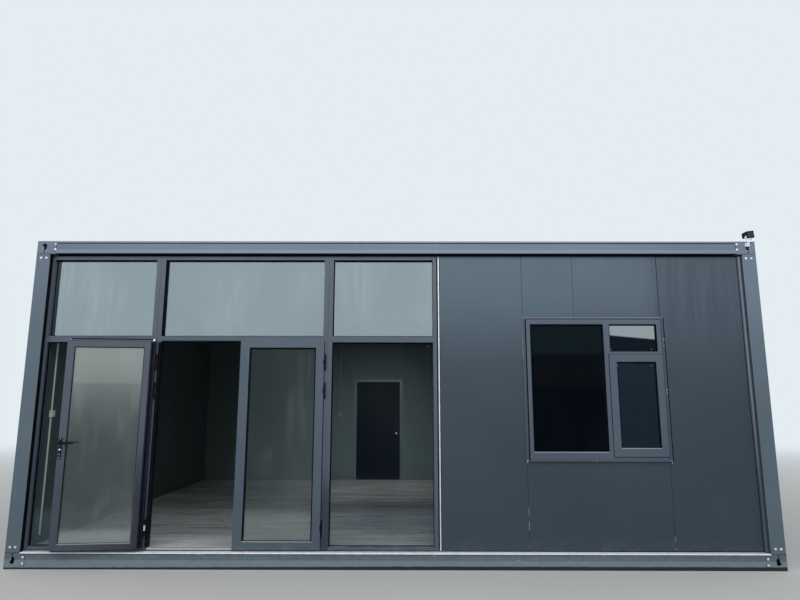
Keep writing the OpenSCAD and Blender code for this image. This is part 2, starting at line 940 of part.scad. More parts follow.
// Place of the lamp, with the corner of the roof's front edge as its origin
module lamp_place() {
  translate([half_length - lamp_from_end, -half_depth, cabin_height]) children();
}

// The head and its yoke stand turned and tipped on their pivot
module lamp_turn() {
  lamp_place() translate([0, 0, lamp_pivot]) rotate([0, -lamp_tip, lamp_yaw])
    translate([0, 0, -lamp_pivot]) children();
}

// Yard lamp at the front right corner of the roof: a plate on the corner block, a strap
// that slants up over the edge and a yoke that holds the head
module lamp_bracket() {
  t = lamp_strap;
  color(zinc) union() {
    lamp_place() {
      bx(-50, 4, -t, 0, -56, -24);
      along_y(-28, 0) polygon([[-46, -34], [-40, -41], [48, 27], [48, 38], [42, 38]]);
    }
    lamp_turn() {
      bx(-lamp_left - t, lamp_right + t, -26, 0, 26, 26 + t);
      bx(-lamp_left - t, -lamp_left, -24, 2, 26, lamp_pivot + 2);
      bx(lamp_right, lamp_right + t, -24, 2, 26, lamp_pivot + 2);
    }
  }
}

module lamp_head() {
  color(black) lamp_turn() along_x(-lamp_left, lamp_right)
    polygon([
      [-lamp_back, lamp_base], [lamp_front - 10, lamp_base + 6], [lamp_front, lamp_base + 26],
      [lamp_front - 6, lamp_rim], [-lamp_back - lamp_peak, lamp_top],
      [-lamp_back - lamp_peak, lamp_rim + 2], [-lamp_back, lamp_rim]
    ]);
}

base_long_beams();
base_end_beams();
base_corner_blocks();
floor_joists();
floor_deck();
corner_posts();
post_trim();
roof_long_beams();
roof_end_beams();
roof_corner_blocks();
roof_joists();
roof_sheets();
ceiling();
module_joint_seals();
wall_tracks();
front_panel_left();
front_panels_over_window();
front_panel_under_window();
front_panel_right();
end_walls();
back_wall_left();
back_wall_right();
back_wall_over_door();
screen_frame();
screen_uprights();
screen_rails();
door_threshold();
upper_panes();
fixed_panes();
edge_trim();
frame_hinges();
left_leaf_frame();
left_leaf_glass();
left_leaf_fittings();
left_leaf_levers();
right_leaf_frame();
right_leaf_glass();
right_leaf_hinges();
window_frame();
window_sash();
window_glass();
window_flashing();
back_door_frame();
back_door_leaf();
back_door_fittings();
lamp_bracket();
lamp_head();
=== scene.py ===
"""Dresses the container cabin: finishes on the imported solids, and the small parts they carry.

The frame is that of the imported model: the front faces -Y and z is 0 at the ground. Finishes,
camera and lights are in metres. Small parts are drawn in millimetres, and scaled when done.
"""
import json
import math

import bmesh
import bpy
from mathutils import Matrix, Vector


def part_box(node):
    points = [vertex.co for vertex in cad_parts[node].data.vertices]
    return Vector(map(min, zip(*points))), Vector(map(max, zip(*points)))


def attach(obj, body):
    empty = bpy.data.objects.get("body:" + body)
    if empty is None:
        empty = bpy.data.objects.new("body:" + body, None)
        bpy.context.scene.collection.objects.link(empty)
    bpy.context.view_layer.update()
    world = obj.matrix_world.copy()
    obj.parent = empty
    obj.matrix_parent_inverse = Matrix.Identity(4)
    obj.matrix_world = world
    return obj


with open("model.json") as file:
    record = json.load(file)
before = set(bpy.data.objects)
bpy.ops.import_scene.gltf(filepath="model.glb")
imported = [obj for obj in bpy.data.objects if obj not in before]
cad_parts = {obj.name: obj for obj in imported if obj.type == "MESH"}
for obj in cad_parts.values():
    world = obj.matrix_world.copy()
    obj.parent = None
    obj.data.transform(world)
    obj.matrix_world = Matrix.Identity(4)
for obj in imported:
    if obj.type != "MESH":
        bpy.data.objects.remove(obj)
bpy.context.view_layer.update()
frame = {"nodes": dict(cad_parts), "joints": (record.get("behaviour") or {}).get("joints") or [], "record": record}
nodes = frame["nodes"]
joints = {joint["name"]: joint for joint in frame["joints"]}


def linear(colour):
    """The shader's linear values of a colour as it looks on a screen, (red, green, blue) from
    0 to 255. A colour with four values has them already."""
    if len(colour) == 4:
        return colour
    shares = (value / 255 for value in colour)
    return (*(share / 12.92 if share <= 0.04045 else ((share + 0.055) / 1.055) ** 2.4
              for share in shares), 1.0)


def scaled(colour, factor):
    return tuple(min(1.0, value * factor) for value in linear(colour)[:3]) + (1.0,)


PALE = (0.84, 0.92, 0.97, 1.0)
PALE_STRENGTH = 0.92
DUST = (172, 170, 160)
# Near black of the painted contact shadow along the foot of painted surfaces
CONTACT_SHADOW = (17, 18, 19)


class Graph:
    """A node tree, with short names for the nodes that are used here."""

    def __init__(self, tree):
        self.tree = tree

    def add(self, kind, sockets=None, **settings):
        made = self.tree.nodes.new(kind)
        for key, value in settings.items():
            setattr(made, key, value)
        for key, value in (sockets or {}).items():
            if isinstance(value, bpy.types.NodeSocket):
                self.tree.links.new(value, made.inputs[key])
            else:
                made.inputs[key].default_value = value
        return made

    def maths(self, operation, first, second=0.0):
        return self.add("ShaderNodeMath", {0: first, 1: second}, operation=operation).outputs[0]

    def product(self, first, *others):
        for value in others:
            first = self.maths("MULTIPLY", first, value)
        return first

    def total(self, first, *others):
        for value in others:
            first = self.maths("ADD", first, value)
        return first

    def step(self, value, low, high):
        """0 at low and 1 at high, with a soft change between; low may be above high."""
        sockets = {"Value": value, "From Min": low, "From Max": high}
        return self.add("ShaderNodeMapRange", sockets, interpolation_type="SMOOTHSTEP").outputs[0]

    def spread(self, value, low, high, first=0.3, last=0.7):
        """Turns a noise value between first and last into a value between low and high."""
        sockets = {"Value": value, "From Min": first, "From Max": last, "To Min": low,
                   "To Max": high}
        return self.add("ShaderNodeMapRange", sockets).outputs[0]

    def blend(self, share, *colours):
        first, second = (linear(colour) if isinstance(colour, tuple) else colour
                         for colour in colours)
        return self.add("ShaderNodeMix", {0: share, 6: first, 7: second},
                        data_type="RGBA").outputs[2]

    def background_rays(self):
        """1 for rays that show the background: straight, mirrored or through glass."""
        path = self.add("ShaderNodeLightPath")
        seen = self.maths("MAXIMUM", path.outputs["Is Camera Ray"],
                          path.outputs["Is Transmission Ray"])
        return self.maths("MAXIMUM", seen, path.outputs["Is Glossy Ray"])


class Finish(Graph):
    """A new material with one principled shader, whose patterns follow object space."""

    def __init__(self, name, roughness, metallic=0.0, specular=0.5):
        self.material = bpy.data.materials.new(name)
        self.material.use_nodes = True
        super().__init__(self.material.node_tree)
        self.shader = self.tree.nodes["Principled BSDF"]
        self.shader.inputs["Roughness"].default_value = roughness
        self.shader.inputs["Metallic"].default_value = metallic
        self.shader.inputs["Specular IOR Level"].default_value = specular
        self.place = self.add("ShaderNodeTexCoord").outputs["Object"]
        self.x, self.y, self.z = self.add("ShaderNodeSeparateXYZ", {0: self.place}).outputs

    def put(self, socket, value):
        self.tree.links.new(value, self.shader.inputs[socket])

    def noise(self, scale, stretch=(1, 1, 1), detail=3.0, roughness=0.55):
        moved = self.add("ShaderNodeMapping", {"Vector": self.place, "Scale": stretch})
        sockets = {"Vector": moved.outputs[0], "Scale": scale, "Detail": detail,
                   "Roughness": roughness}
        return self.add("ShaderNodeTexNoise", sockets).outputs[0]

    def patches(self, low, high, *settings, **more):
        """Noise with soft edges: 0 where it is under low and 1 where it is over high."""
        return self.step(self.noise(*settings, **more), low, high)

    def bump(self, height, strength, distance):
        sockets = {"Height": height, "Strength": strength, "Distance": distance}
        self.put("Normal", self.add("ShaderNodeBump", sockets).outputs[0])

    def weather(self, colour, worn, streaks=0.2, splash=0.12, top_dust=0.55, bands=()):
        """Mixes cloudy fading, bands of another shade, thin rain streaks, splashes near the
        ground, a painted contact shadow along the foot, taller towards the right, and dust on
        ledges. A band is (height where it starts, height where it is full, colour, share)."""
        cloud = self.patches(0.35, 0.70, 0.9, detail=4.0)
        mixed = self.blend(self.product(cloud, 0.6), colour, worn)
        for start, full, shade, share in bands:
            mixed = self.blend(self.product(self.step(self.z, start, full), share), mixed, shade)
        if streaks:
            runs = self.patches(0.55, 0.78, 26.0, (1, 1, 0.035), 4.0, 0.6)
            patch = self.patches(0.45, 0.65, 1.7)
            mixed = self.blend(self.product(runs, patch, streaks), mixed, DUST)
        speckle = self.patches(0.36, 0.74, 9.0, (1, 1, 2.2), 6.0, 0.6)
        low = self.product(self.step(self.z, 0.40, 0.02), splash, speckle)
        mixed = self.blend(low, mixed, DUST)
        # Painted contact shadow: a near black band along the foot, taller towards the right
        shadow_rise = self.spread(self.x, 0.002, -0.018, -3.4, 0.5)
        edge = self.total(self.z, self.product(self.noise(9.0), -0.012), shadow_rise)
        mixed = self.blend(self.product(self.step(edge, 0.018, 0.009), 0.95), mixed, CONTACT_SHADOW)
        normal = self.add("ShaderNodeNewGeometry").outputs["Normal"]
        up = self.add("ShaderNodeSeparateXYZ", {0: normal}).outputs[2]
        settled = self.patches(0.25, 0.70, 7.0, detail=5.0)
        return self.blend(self.product(self.step(up, 0.55, 0.95), settled, top_dust), mixed, DUST)


def painted(name, colour, worn, roughness, specular=0.5, painted_shading=None, **layers):
    """Sprayed metal: faint orange peel, cloudy fading, dirt and a painted contact shadow at the foot.
    painted_shading is a patch of painted light and shade: (colour, height where it starts, height
    where it is full, x where it is thin, x where it is full)."""
    made = Finish(name, roughness, 0.0, specular)
    mixed = made.weather(colour, worn, **layers)
    if painted_shading:
        # Painted light and shade: a patch of another colour over part of the surface, ragged at its edges
        shade, start, full, thin, thick = painted_shading
        side = made.spread(made.x, 0.30, 0.90, thin, thick)
        ragged = made.spread(made.noise(5.0, (1, 1, 0.4), 5.0), 0.75, 1.0)
        shading_mask = made.product(made.step(made.z, start, full), side, ragged)
        mixed = made.blend(shading_mask, mixed, shade)
    made.put("Base Color", mixed)
    gloss = made.noise(5.0, detail=5.0)
    made.put("Roughness", made.spread(gloss, roughness - 0.06, roughness + 0.10))
    peel = made.product(made.noise(420.0, detail=2.0), 0.05)
    made.bump(made.total(peel, made.noise(6.0, detail=2.0)), 0.3, 0.001)
    return made.material


def panel_material(name, outside, worn, painted_sky_sheen, inside):
    """Insulated panel: fine upright lines, a painted reflection of the sky that turns the skin paler
    towards the top, water streaks, and a plain matt skin on the room side."""
    made = Finish(name, 0.40, 0.0, 0.30)
    x, y, z = made.x, made.y, made.z
    phase = made.maths("FRACT", made.maths("DIVIDE", made.total(x, y), 0.0625))
    line = made.step(made.maths("ABSOLUTE", made.maths("SUBTRACT", phase, 0.5)), 0.09, 0.0)
    patchy = made.patches(0.48, 0.68, 0.9, (1, 1, 0.5))
    far_right = made.step(x, 2.75, 2.95)
    shade = made.product(line, patchy, made.step(z, 1.7, 2.9), made.total(far_right, 0.25), 0.35)
    skin = made.weather(outside, worn, 0.0, 0.10, 0.5)
    # Painted sky reflection: the skin turns paler towards the top, less so on the far right
    cloud = made.spread(made.noise(1.3, (1, 1, 1.6), 5.0), 0.82, 1.0)
    less = made.total(made.product(far_right, -0.45), 1.0)
    skin = made.blend(made.product(made.step(z, 1.93, 2.95), cloud, less), skin, painted_sky_sheen)
    skin = made.blend(shade, skin, scaled(outside, 0.62))
    runs = made.patches(0.42, 0.66, 21.0, (1, 1, 0.03), 4.0, 0.65)
    wet = made.product(runs, made.step(z, 2.0, 2.7), made.total(far_right, 0.12), 0.38)
    skin = made.blend(wet, skin, scaled(outside, 0.85))
    room = made.product(made.step(made.maths("ABSOLUTE", x), 3.862, 3.8605),
                        made.step(made.maths("ABSOLUTE", y), 2.862, 2.8605))
    scuff = made.product(made.patches(0.45, 0.75, 3.0, detail=6.0), 0.4)
    lining = made.blend(scuff, inside, scaled(inside, 0.8))
    made.put("Base Color", made.blend(room, skin, lining))
    gloss = made.product(made.noise(4.0, detail=4.0), 0.16)
    made.put("Roughness", made.total(gloss, 0.30, made.product(room, 0.2)))
    dish = made.product(made.noise(1.6, detail=2.0), 3.0)
    made.bump(made.maths("SUBTRACT", dish, line), 0.4, 0.001)
    return made.material


def metal(name, colour, dull, roughness, metallic):
    """Bare metal with fine brushing and dull patches."""
    made = Finish(name, roughness, metallic)
    patch = made.patches(0.38, 0.72, 12.0, detail=6.0, roughness=0.65)
    made.put("Base Color", made.blend(patch, colour, dull))
    made.put("Roughness", made.spread(patch, roughness, roughness + 0.22, 0, 1))
    made.bump(made.noise(180.0, (1, 1, 0.05)), 0.25, 0.0004)
    return made.material


def rubber(name, colour, chalk=0.12):
    """Dull rubber, plastic or sealant with chalky patches."""
    made = Finish(name, 0.72, 0.0, 0.06)
    grey = made.patches(0.45, 0.80, 40.0, detail=5.0)
    made.put("Base Color", made.blend(made.product(grey, chalk), colour, DUST))
    made.bump(made.noise(300.0), 0.3, 0.0004)
    return made.material


def glass(name, tint, hazy, cover, haze, mirror, specular, vent=None, blooms=()):
    """A pane seen through. cover is its opacity where clean and haze what the film on it adds;
    mirror is the strength of its metallic coat. vent is (left edge, lower edge, height where a
    painted sky reflection starts) of the small top light, and also paints reflections on the
    window. An entry of blooms is (height where the pane starts turning paler and less clear,
    height where it is full, what it adds)."""
    made = Finish(name, 0.03, mirror, specular)
    film = made.patches(0.35, 0.80, 2.2, (1, 1, 0.5), 5.0, 0.6)
    film = made.product(film, made.patches(0.2, 0.8, 18.0, (1, 1, 0.12), 4.0))
    colour = made.blend(film, tint, hazy)
    opacity = made.spread(film, cover, cover + haze, 0, 1)
    for start, full, gain in blooms:
        pale = made.step(made.z, start, full)
        colour = made.blend(made.product(pale, 0.7), colour, hazy)
        opacity = made.total(opacity, made.product(pale, gain))
    if vent:
        # Painted reflections: paler right of the left edge, teal above the lower edge, darker across the small top
        # light, and a pale reflection of the sky, with a metallic coat, over its upper part
        left, low, bright = vent
        beside = made.step(made.x, left, left + 0.01)
        share = made.product(beside, made.step(made.z, low, low + 0.01))
        slope = made.total(made.z, made.product(made.x, 0.09))
        painted_sky_reflection = made.product(share, made.step(slope, bright, bright + 0.02))
        upper = made.product(made.step(made.z, low - 0.04, low + 0.02), 0.8)
        for zone, shade in ((upper, (13, 27, 32)), (made.product(beside, 0.8), (31, 43, 55)),
                            (share, (12, 23, 33)), (painted_sky_reflection, (110, 119, 122))):
            colour = made.blend(zone, colour, shade)
        opacity = made.total(opacity, made.product(painted_sky_reflection, 0.15))
        made.put("Metallic", made.product(painted_sky_reflection, 0.9))
    made.put("Base Color", colour)
    made.put("Alpha", opacity)
    made.put("Roughness", made.spread(film, 0.02, 0.09, 0, 1))
    made.bump(made.noise(1.4, detail=1.0), 0.15, 0.0012)
    return made.material


def plank_material(name):
    """Grey vinyl planks that run along the cabin, with grain, scuffs, trodden patches and a paler
    stretch near the doorway, a painted pool of light where daylight falls in."""
    made = Finish(name, 0.38)
    sockets = {
        "Vector": made.place, "Color1": linear((236, 238, 238)),
        "Color2": linear((184, 188, 191)), "Mortar": linear((84, 84, 85)),
        "Scale": 1.0, "Mortar Size": 0.0016,
        "Brick Width": 1.22, "Row Height": 0.182, "Bias": 0.0,
    }
    planks = made.add("ShaderNodeTexBrick", sockets, offset=0.37, offset_frequency=2)
    grain = made.patches(0.38, 0.64, 9.0, (0.25, 5.0, 1), 8.0, 0.66)
    grain = made.product(grain, 0.75)
    broad = made.patches(0.46, 0.60, 4.0, (0.30, 3.2, 1), 5.0, 0.6)
    trodden = made.patches(0.45, 0.72, 2.6)
    # Painted pool of light: paler planks near the doorway
    doorway_light_pool = made.product(made.step(made.y, -1.9, -2.85),
                         made.spread(made.noise(5.0, (0.4, 3.0, 1), 5.0), 0.35, 0.85))
    mixed = planks.outputs["Color"]
    for share, shade in ((grain, (118, 121, 122)), (made.product(broad, 0.55), (100, 105, 108)),
                         (made.product(trodden, 0.3), (186, 182, 172)), (doorway_light_pool, (222, 226, 226))):
        mixed = made.blend(share, mixed, shade)
    made.put("Base Color", mixed)
    made.put("Roughness", made.spread(made.noise(6.0, detail=4.0), 0.26, 0.46))
    height = made.maths("SUBTRACT", made.product(grain, 0.3), planks.outputs["Fac"])
    made.bump(height, 0.4, 0.0008)
    return made.material


def board_material(name, colour, pitch=0.6):
    """Matt board with faint joints and marks."""
    made = Finish(name, 0.62)
    mark = made.patches(0.50, 0.82, 2.0, detail=6.0)
    made.put("Base Color", made.blend(mark, colour, scaled(colour, 0.86)))
    joint = made.maths("SUBTRACT", made.maths("FRACT", made.maths("DIVIDE", made.x, pitch)), 0.5)
    groove = made.step(made.maths("ABSOLUTE", joint), 0.012, 0.0)
    made.bump(made.product(groove, -1.0), 0.5, 0.002)
    return made.material


def stage_material(name, colour):
    """Pale floor that runs into the background away from the object."""
    made = Finish(name, 0.85, 0.0, 0.1)
    soft = made.patches(0.2, 0.8, 0.5, detail=2.0)
    made.put("Base Color", made.blend(soft, colour, scaled(colour, 1.03)))
    reach = made.add("ShaderNodeVectorMath", {0: made.place}, operation="LENGTH")
    share = made.product(made.step(reach.outputs["Value"], 6.5, 24.0), made.background_rays())
    pale = made.add("ShaderNodeEmission", {"Color": PALE, "Strength": PALE_STRENGTH})
    mixed = made.add("ShaderNodeMixShader", {0: share, 1: made.shader.outputs[0],
                                             2: pale.outputs[0]})
    made.tree.links.new(mixed.outputs[0], made.tree.nodes["Material Output"].inputs["Surface"])
    return made.material


# Steel: a painted light makes the posts paler towards the top, most on the right; the band makes it paler near the
# foot
STEEL = painted("anthracite_steel", (79, 95, 107), (89, 105, 115), 0.38, 0.35,
                painted_shading=((100, 116, 131), 2.0, 3.1, -3.0, 3.0),
                bands=[(0.100, 0.082, (114, 129, 139), 0.8)])
ROOF_STEEL = painted("roof_steel", (94, 107, 123), (104, 117, 132), 0.36, 0.40)
# Roof beams: the bands paint light and shade, a paler band low on the face as a painted highlight where it bulges
# and faces up, a near black line at the bottom as a painted shadow, and a paler line at the lip as a painted
# highlight
ROOF_BEAM = painted("roof_beam_steel", (90, 103, 119), (100, 113, 128), 0.36, 0.40,
                    bands=[(3.366, 3.350, (110, 124, 141), 0.95),
                           (3.3235, 3.3205, (16, 18, 22), 1.0),
                           (3.4416, 3.4424, (118, 130, 146), 0.8)])
SHADED_STEEL = painted("shaded_steel", (66, 74, 82), (72, 80, 88), 0.5, 0.1)
# Pressed return: a painted shade makes it darker towards the bottom
TRIM_STEEL = painted("pressed_return_steel", (110, 123, 136), (118, 130, 142), 0.38,
                     0.35, painted_shading=((66, 76, 88), 1.9, 0.6, 3.0, 3.2))
PANEL = panel_material("insulated_panel", (46, 59, 71), (53, 66, 78), (76, 93, 107), (78, 95, 95))
FLASHING = painted("window_flashing", (54, 65, 80), (63, 74, 89), 0.36, 0.35, streaks=0.0)
FRAME = painted("coated_aluminium", (69, 81, 96), (78, 89, 103), 0.34, 0.35,
                streaks=0.0, splash=0.16)
# Left leaf frame: a painted shade makes it darker low on its hinge side
LEAF_FRAME = painted("left_leaf_aluminium", (68, 76, 90), (77, 84, 97), 0.34, 0.35,
                     painted_shading=((27, 34, 41), 1.45, 0.70, -3.30, -2.75), streaks=0.0)
# Uprights: a painted shade makes them darker towards the bottom, more so to the right
UPRIGHT = painted("upright_aluminium", (70, 79, 94), (79, 87, 101), 0.34, 0.35,
                  painted_shading=((36, 46, 60), 1.10, 0.60, -2.6, -0.9), streaks=0.0)
SILL = painted("sill_aluminium", (160, 165, 168), (146, 150, 153), 0.40, 0.35,
               streaks=0.0, splash=0.3, top_dust=0.25)
# Pale grey for worn edges and paint chips, and also for painted highlights along the bottom of panes
PALE_WEAR_AND_HIGHLIGHT = painted("worn_edge_and_painted_highlight", (132, 140, 150), (158, 164, 170), 0.34, 0.5,
                     streaks=0.0, top_dust=0.8)
DOOR = painted("back_door_paint", (5, 13, 23), (8, 18, 29), 0.42, 0.06, streaks=0.0)
JOIST = painted("primer_steel", (112, 118, 122), (128, 130, 130), 0.5)
ROOFING = painted("roofing", (150, 156, 160), (128, 132, 134), 0.42, streaks=0.0)
# Near black wall tracks: partly a painted shade for the dark gaps above and below the walls
TRACK = painted("dark_channel", (12, 13, 15), (20, 21, 24), 0.5, 0.05, splash=0.1)
BLACK = painted("black_coating", (7, 8, 10), (13, 14, 16), 0.34, 0.12, streaks=0.0, top_dust=0.12)
# Dark navy: painted shade on the sides of the doorway
DOORWAY_SHADE_BLACK = painted("doorway_liner_painted_shade", (10, 16, 26), (15, 22, 33), 0.5, 0.08,
                streaks=0.0, splash=0.05)
# Dark blue black for painted shade on the hinge side of the front leaves
HINGE_SIDE_SHADE = rubber("dark_lip_seal", (24, 28, 44), 0.04)
BARE = metal("bare_aluminium", (226, 229, 232), (192, 195, 197), 0.34, 0.15)
ZINC = metal("zinc_plate", (240, 243, 246), (196, 199, 201), 0.34, 0.45)
# Near white: a painted highlight of the base ledges, where they face the sky
LEDGE = metal("bright_ledge", (246, 248, 252), (214, 219, 225), 0.42, 0.05)
SEAL = rubber("black_rubber", (9, 10, 12), 0.04)
CAULK = rubber("pale_sealant", (214, 216, 214))
# Near black for dark joints and grooves, and for painted shade: discs in holes, lines under the base ledges and
# beside the edge strip
BLACK_JOINT_AND_SHADE = rubber("joint_black_and_hole_shade", (8, 8, 9), 0.02)
UPPER_GLASS = glass("upper_glass", (122, 135, 141), (136, 146, 150), 0.66, 0.06, 0.9, 0.5)
LOWER_GLASS = glass("lower_glass", (40, 68, 82), (106, 126, 132),
                    0.02, 0.02, 0.0, 0.03, blooms=[(0.66, 0.50, 0.14)])
RIGHT_GLASS = glass("right_leaf_glass", (84, 98, 100), (136, 146, 144),
                    0.13, 0.08, 0.0, 0.10, blooms=[(0.62, 0.46, 0.24)])
LEAF_GLASS = glass("left_leaf_glass", (100, 112, 112), (170, 176, 174),
                   0.20, 0.14, 0.0, 0.9, blooms=[(1.30, 2.20, 0.26), (0.44, 0.34, 0.20)])
WINDOW_GLASS = glass("window_glass", (3, 7, 14), (12, 19, 28),
                     0.93, 0.03, 0.0, 0.02, vent=(2.330, 2.225, 2.62))
PLANKS = plank_material("vinyl_planks")
BOARD = board_material("white_board", (208, 209, 206))
LINING = board_material("wall_lining", (74, 82, 85), 0.95)
PLASTIC = rubber("white_plastic", (224, 226, 222), 0.1)
DULL_PLASTIC = rubber("grey_plastic", (112, 122, 122), 0.1)
LENS = glass("lamp_lens", (34, 37, 42), (60, 64, 70), 0.75, 0.1, 0.0, 0.4)
STAGE = stage_material("pale_floor", (0.565, 0.56, 0.54, 1.0))

SLOT_FINISH = {
    "frame_steel": STEEL, "hidden_steel": JOIST, "floor": PLANKS, "roofing": ROOFING,
    "ceiling_board": BOARD, "seal": SEAL, "track": TRACK, "panel": PANEL,
    "window_flashing": FLASHING, "screen_aluminium": FRAME, "door_paint": DOOR,
    "bare_aluminium": BARE, "upper_glass": UPPER_GLASS, "glass": LOWER_GLASS,
    "black_fittings": BLACK, "lamp_bracket": ZINC, "lamp_body": BLACK,
}
NODE_FINISH = {
    "roof_long_beams": ROOF_BEAM, "roof_end_beams": ROOF_BEAM,
    "roof_corner_blocks": ROOF_STEEL, "window_glass": WINDOW_GLASS,
    "left_leaf_glass": LEAF_GLASS, "left_leaf_frame": LEAF_FRAME,
    "right_leaf_glass": RIGHT_GLASS,
    "screen_uprights": UPRIGHT, "door_threshold": SILL, "post_trim": TRIM_STEEL,
}
# The slot of an added piece, where it isn't given with the piece
PIECE_SLOT = {
    STEEL: "frame_steel", SHADED_STEEL: "frame_steel", FRAME: "screen_aluminium",
    PALE_WEAR_AND_HIGHLIGHT: "screen_aluminium", SILL: "bare_aluminium", LEDGE: "bare_aluminium",
    SEAL: "seal", BLACK_JOINT_AND_SHADE: "seal", CAULK: "seal", HINGE_SIDE_SHADE: "seal", ZINC: "lamp_bracket",
    BLACK: "black_fittings", DOORWAY_SHADE_BLACK: "black_fittings", LINING: "panel", LENS: "lamp_body",
    PLASTIC: "ceiling_board", DULL_PLASTIC: "ceiling_board",
}
for part in frame["record"]["subparts"]:
    solid = nodes[part["node"]]
    solid.data.materials.clear()
    solid.data.materials.append(NODE_FINISH.get(part["node"], SLOT_FINISH[part["material_slot"]]))

# Planes of the cabin, in millimetres
PER_METRE = 1000
HALF_LENGTH = 4000
HALF_DEPTH = 3000
SEAM = 5
BASE_Z = 160
FLOOR_Z = 182
CEILING_Z = 3300
ROOF_Z = 3315
TOP_Z = 3460
FRONT_FACE = -2935
FRONT_INNER = -2860
END_INNER = 3860
POST_WIDTH = 150
POST_EDGE = HALF_LENGTH - POST_WIDTH
BLOCK_LENGTH = 210

# Doors
LEAF_FRONT = -2950
LEAF_LIP = -2940
LEAF_BACK = -2895
DOOR_LOW_Z = 200
TRANSOM_Z = 2335
DOOR_HIGH_Z = TRANSOM_Z - 3
HINGE_Y = FRONT_FACE - 23
HINGE_HEIGHTS = (396, 1810, 2118)
BACK_HINGE_HEIGHTS = (420, 1150, 1880)
LEVER_Z = 1265
LOCK_Z = 1197
BACK_LOCK_Z = 1090

IDENTITY = Matrix.Identity(4)
FLIP = Matrix.Diagonal((1, -1, 1, 1))
# They turn a section drawn in (x, y) so that it runs along the cabin, or across it
ALONG_X = Matrix(((0, 0, 1, 0), (1, 0, 0, 0), (0, 1, 0, 0), (0, 0, 0, 1)))
ALONG_Y = Matrix(((1, 0, 0, 0), (0, 0, 1, 0), (0, 1, 0, 0), (0, 0, 0, 1)))


def along(reach):
    """Position along the front, from the left outer edge."""
    return reach - HALF_LENGTH


# Mesh helpers
pieces = []


def block(mesh, low, high, bevel=0, place=IDENTITY):
    """Box between two corners in any order, with its edges eased."""
    size = [abs(high[i] - low[i]) for i in range(3)]
    middle = [(high[i] + low[i]) / 2 for i in range(3)]
    spot = place @ Matrix.Translation(middle) @ Matrix.Diagonal((*size, 1))
    made = bmesh.ops.create_cube(mesh, size=1.0, matrix=spot)
    if bevel:
        edges = {edge for corner in made["verts"] for edge in corner.link_edges}
        bmesh.ops.bevel(mesh, geom=list(edges), offset=bevel, segments=2, profile=0.6,
                        affect="EDGES", clamp_overlap=True)


def front_strip(mesh, x, z, out, bevel=0, place=IDENTITY):
    """Thin block on the front wall, between two x, two z and two distances out of its face."""
    low, high = ((x[i], FRONT_FACE - out[i], z[i]) for i in (0, 1))
    block(mesh, low, high, bevel, place)


def skin(mesh, rings, place=IDENTITY, ends=False, closed=False):
    """Faces between neighbouring rings of points; a ring can be a single point. ends adds a
    flat face at the first and the last ring, and closed joins the last to the first."""
    rings = [[mesh.verts.new(place @ Vector(point)) for point in ring] for ring in rings]
    if closed:
        rings.append(rings[0])
    for first, second in zip(rings, rings[1:]):
        for k in range(max(len(first), len(second))):
            corners = dict.fromkeys((first[k % len(first)], first[(k + 1) % len(first)],
                                     second[(k + 1) % len(second)], second[k % len(second)]))
            mesh.faces.new(tuple(corners))
    if ends:
        mesh.faces.new(rings[0][::-1])
        mesh.faces.new(rings[-1])


def bar(mesh, section, place, length):
    """Closed section (a list of local x, y), run along local z."""
    skin(mesh, [[(x, y, z) for x, y in section] for z in (0, length)], place, ends=True)


def circle(radius, sides):
    """Points of a circle in x and y; a radius of 0 gives one point."""
    angles = [2 * math.pi * k / sides for k in range(sides if radius else 1)]
    return [(radius * math.cos(angle), radius * math.sin(angle)) for angle in angles]


def turned(mesh, place, profile, sides=20):
    """Solid of revolution about local +Z: profile is a list of (radius, height)."""
    skin(mesh, [[(x, y, height) for x, y in circle(radius, sides)]
                for radius, height in profile], place)


def tube(mesh, points, radius, sides):
    """Round bar along points, with flat ends."""
    spots = [Vector(point) for point in points]
    side = (spots[1] - spots[0]).normalized().orthogonal().normalized()
    rings = []
    for i, spot in enumerate(spots):
        ahead = (spots[min(i + 1, len(spots) - 1)] - spots[max(i - 1, 0)]).normalized()
        side = (side - ahead * side.dot(ahead)).normalized()
        up = ahead.cross(side)
        rings.append([spot + side * x + up * y for x, y in circle(radius, sides)])
    skin(mesh, rings, ends=True)


def picture_frame(mesh, rect, profile, place=IDENTITY):
    """Mitred frame round a rectangle (x0, x1, z0, z1): profile is a closed list of
    (inset from the rectangle, y)."""
    x0, x1, z0, z1 = rect
    rings = [[(x0 + inset, y, z0 + inset), (x1 - inset, y, z0 + inset),
              (x1 - inset, y, z1 - inset), (x0 + inset, y, z1 - inset)] for inset, y in profile]
    skin(mesh, rings, place, closed=True)


def flat_frame(mesh, rect, inner, outer, y0, y1, place=IDENTITY):
    """Mitred flat strip round a rectangle, between two insets and two depths."""
    picture_frame(mesh, rect, [(outer, y0), (inner, y0), (inner, y1), (outer, y1)], place)


def bead(mesh, rect, glass, top, width, chamfer=(2, 2), place=IDENTITY):
    """Glazing bead round a pane, on its room side: from the glass to top, edge chamfered."""
    picture_frame(mesh, rect, [(0.4, top), (width - chamfer[0], top),
                               (width, top - chamfer[1]), (width, glass + 0.5),
                               (0.4, glass + 0.5)], place)


def reveal(mesh, rect, face, glass, lip, place=IDENTITY):
    """Black lining of the outer reveal of a pane, a painted shade over the reveal, with a gasket lip
    that lies on the glass.
    """
    picture_frame(mesh, rect, [(0.4, face + 2), (3, face + 2),
                               (4, glass - lip), (13, glass - lip + 1),
                               (15, glass - 0.5), (0.4, glass - 0.5)], place)


def piece(name, material, body="cabin", slot=None, smooth=False):
    """Mesh to draw a piece in. When all are drawn, each becomes an object on its body."""
    mesh = bmesh.new()
    pieces.append((name, mesh, material, body, slot or PIECE_SLOT[material], smooth))
    return mesh


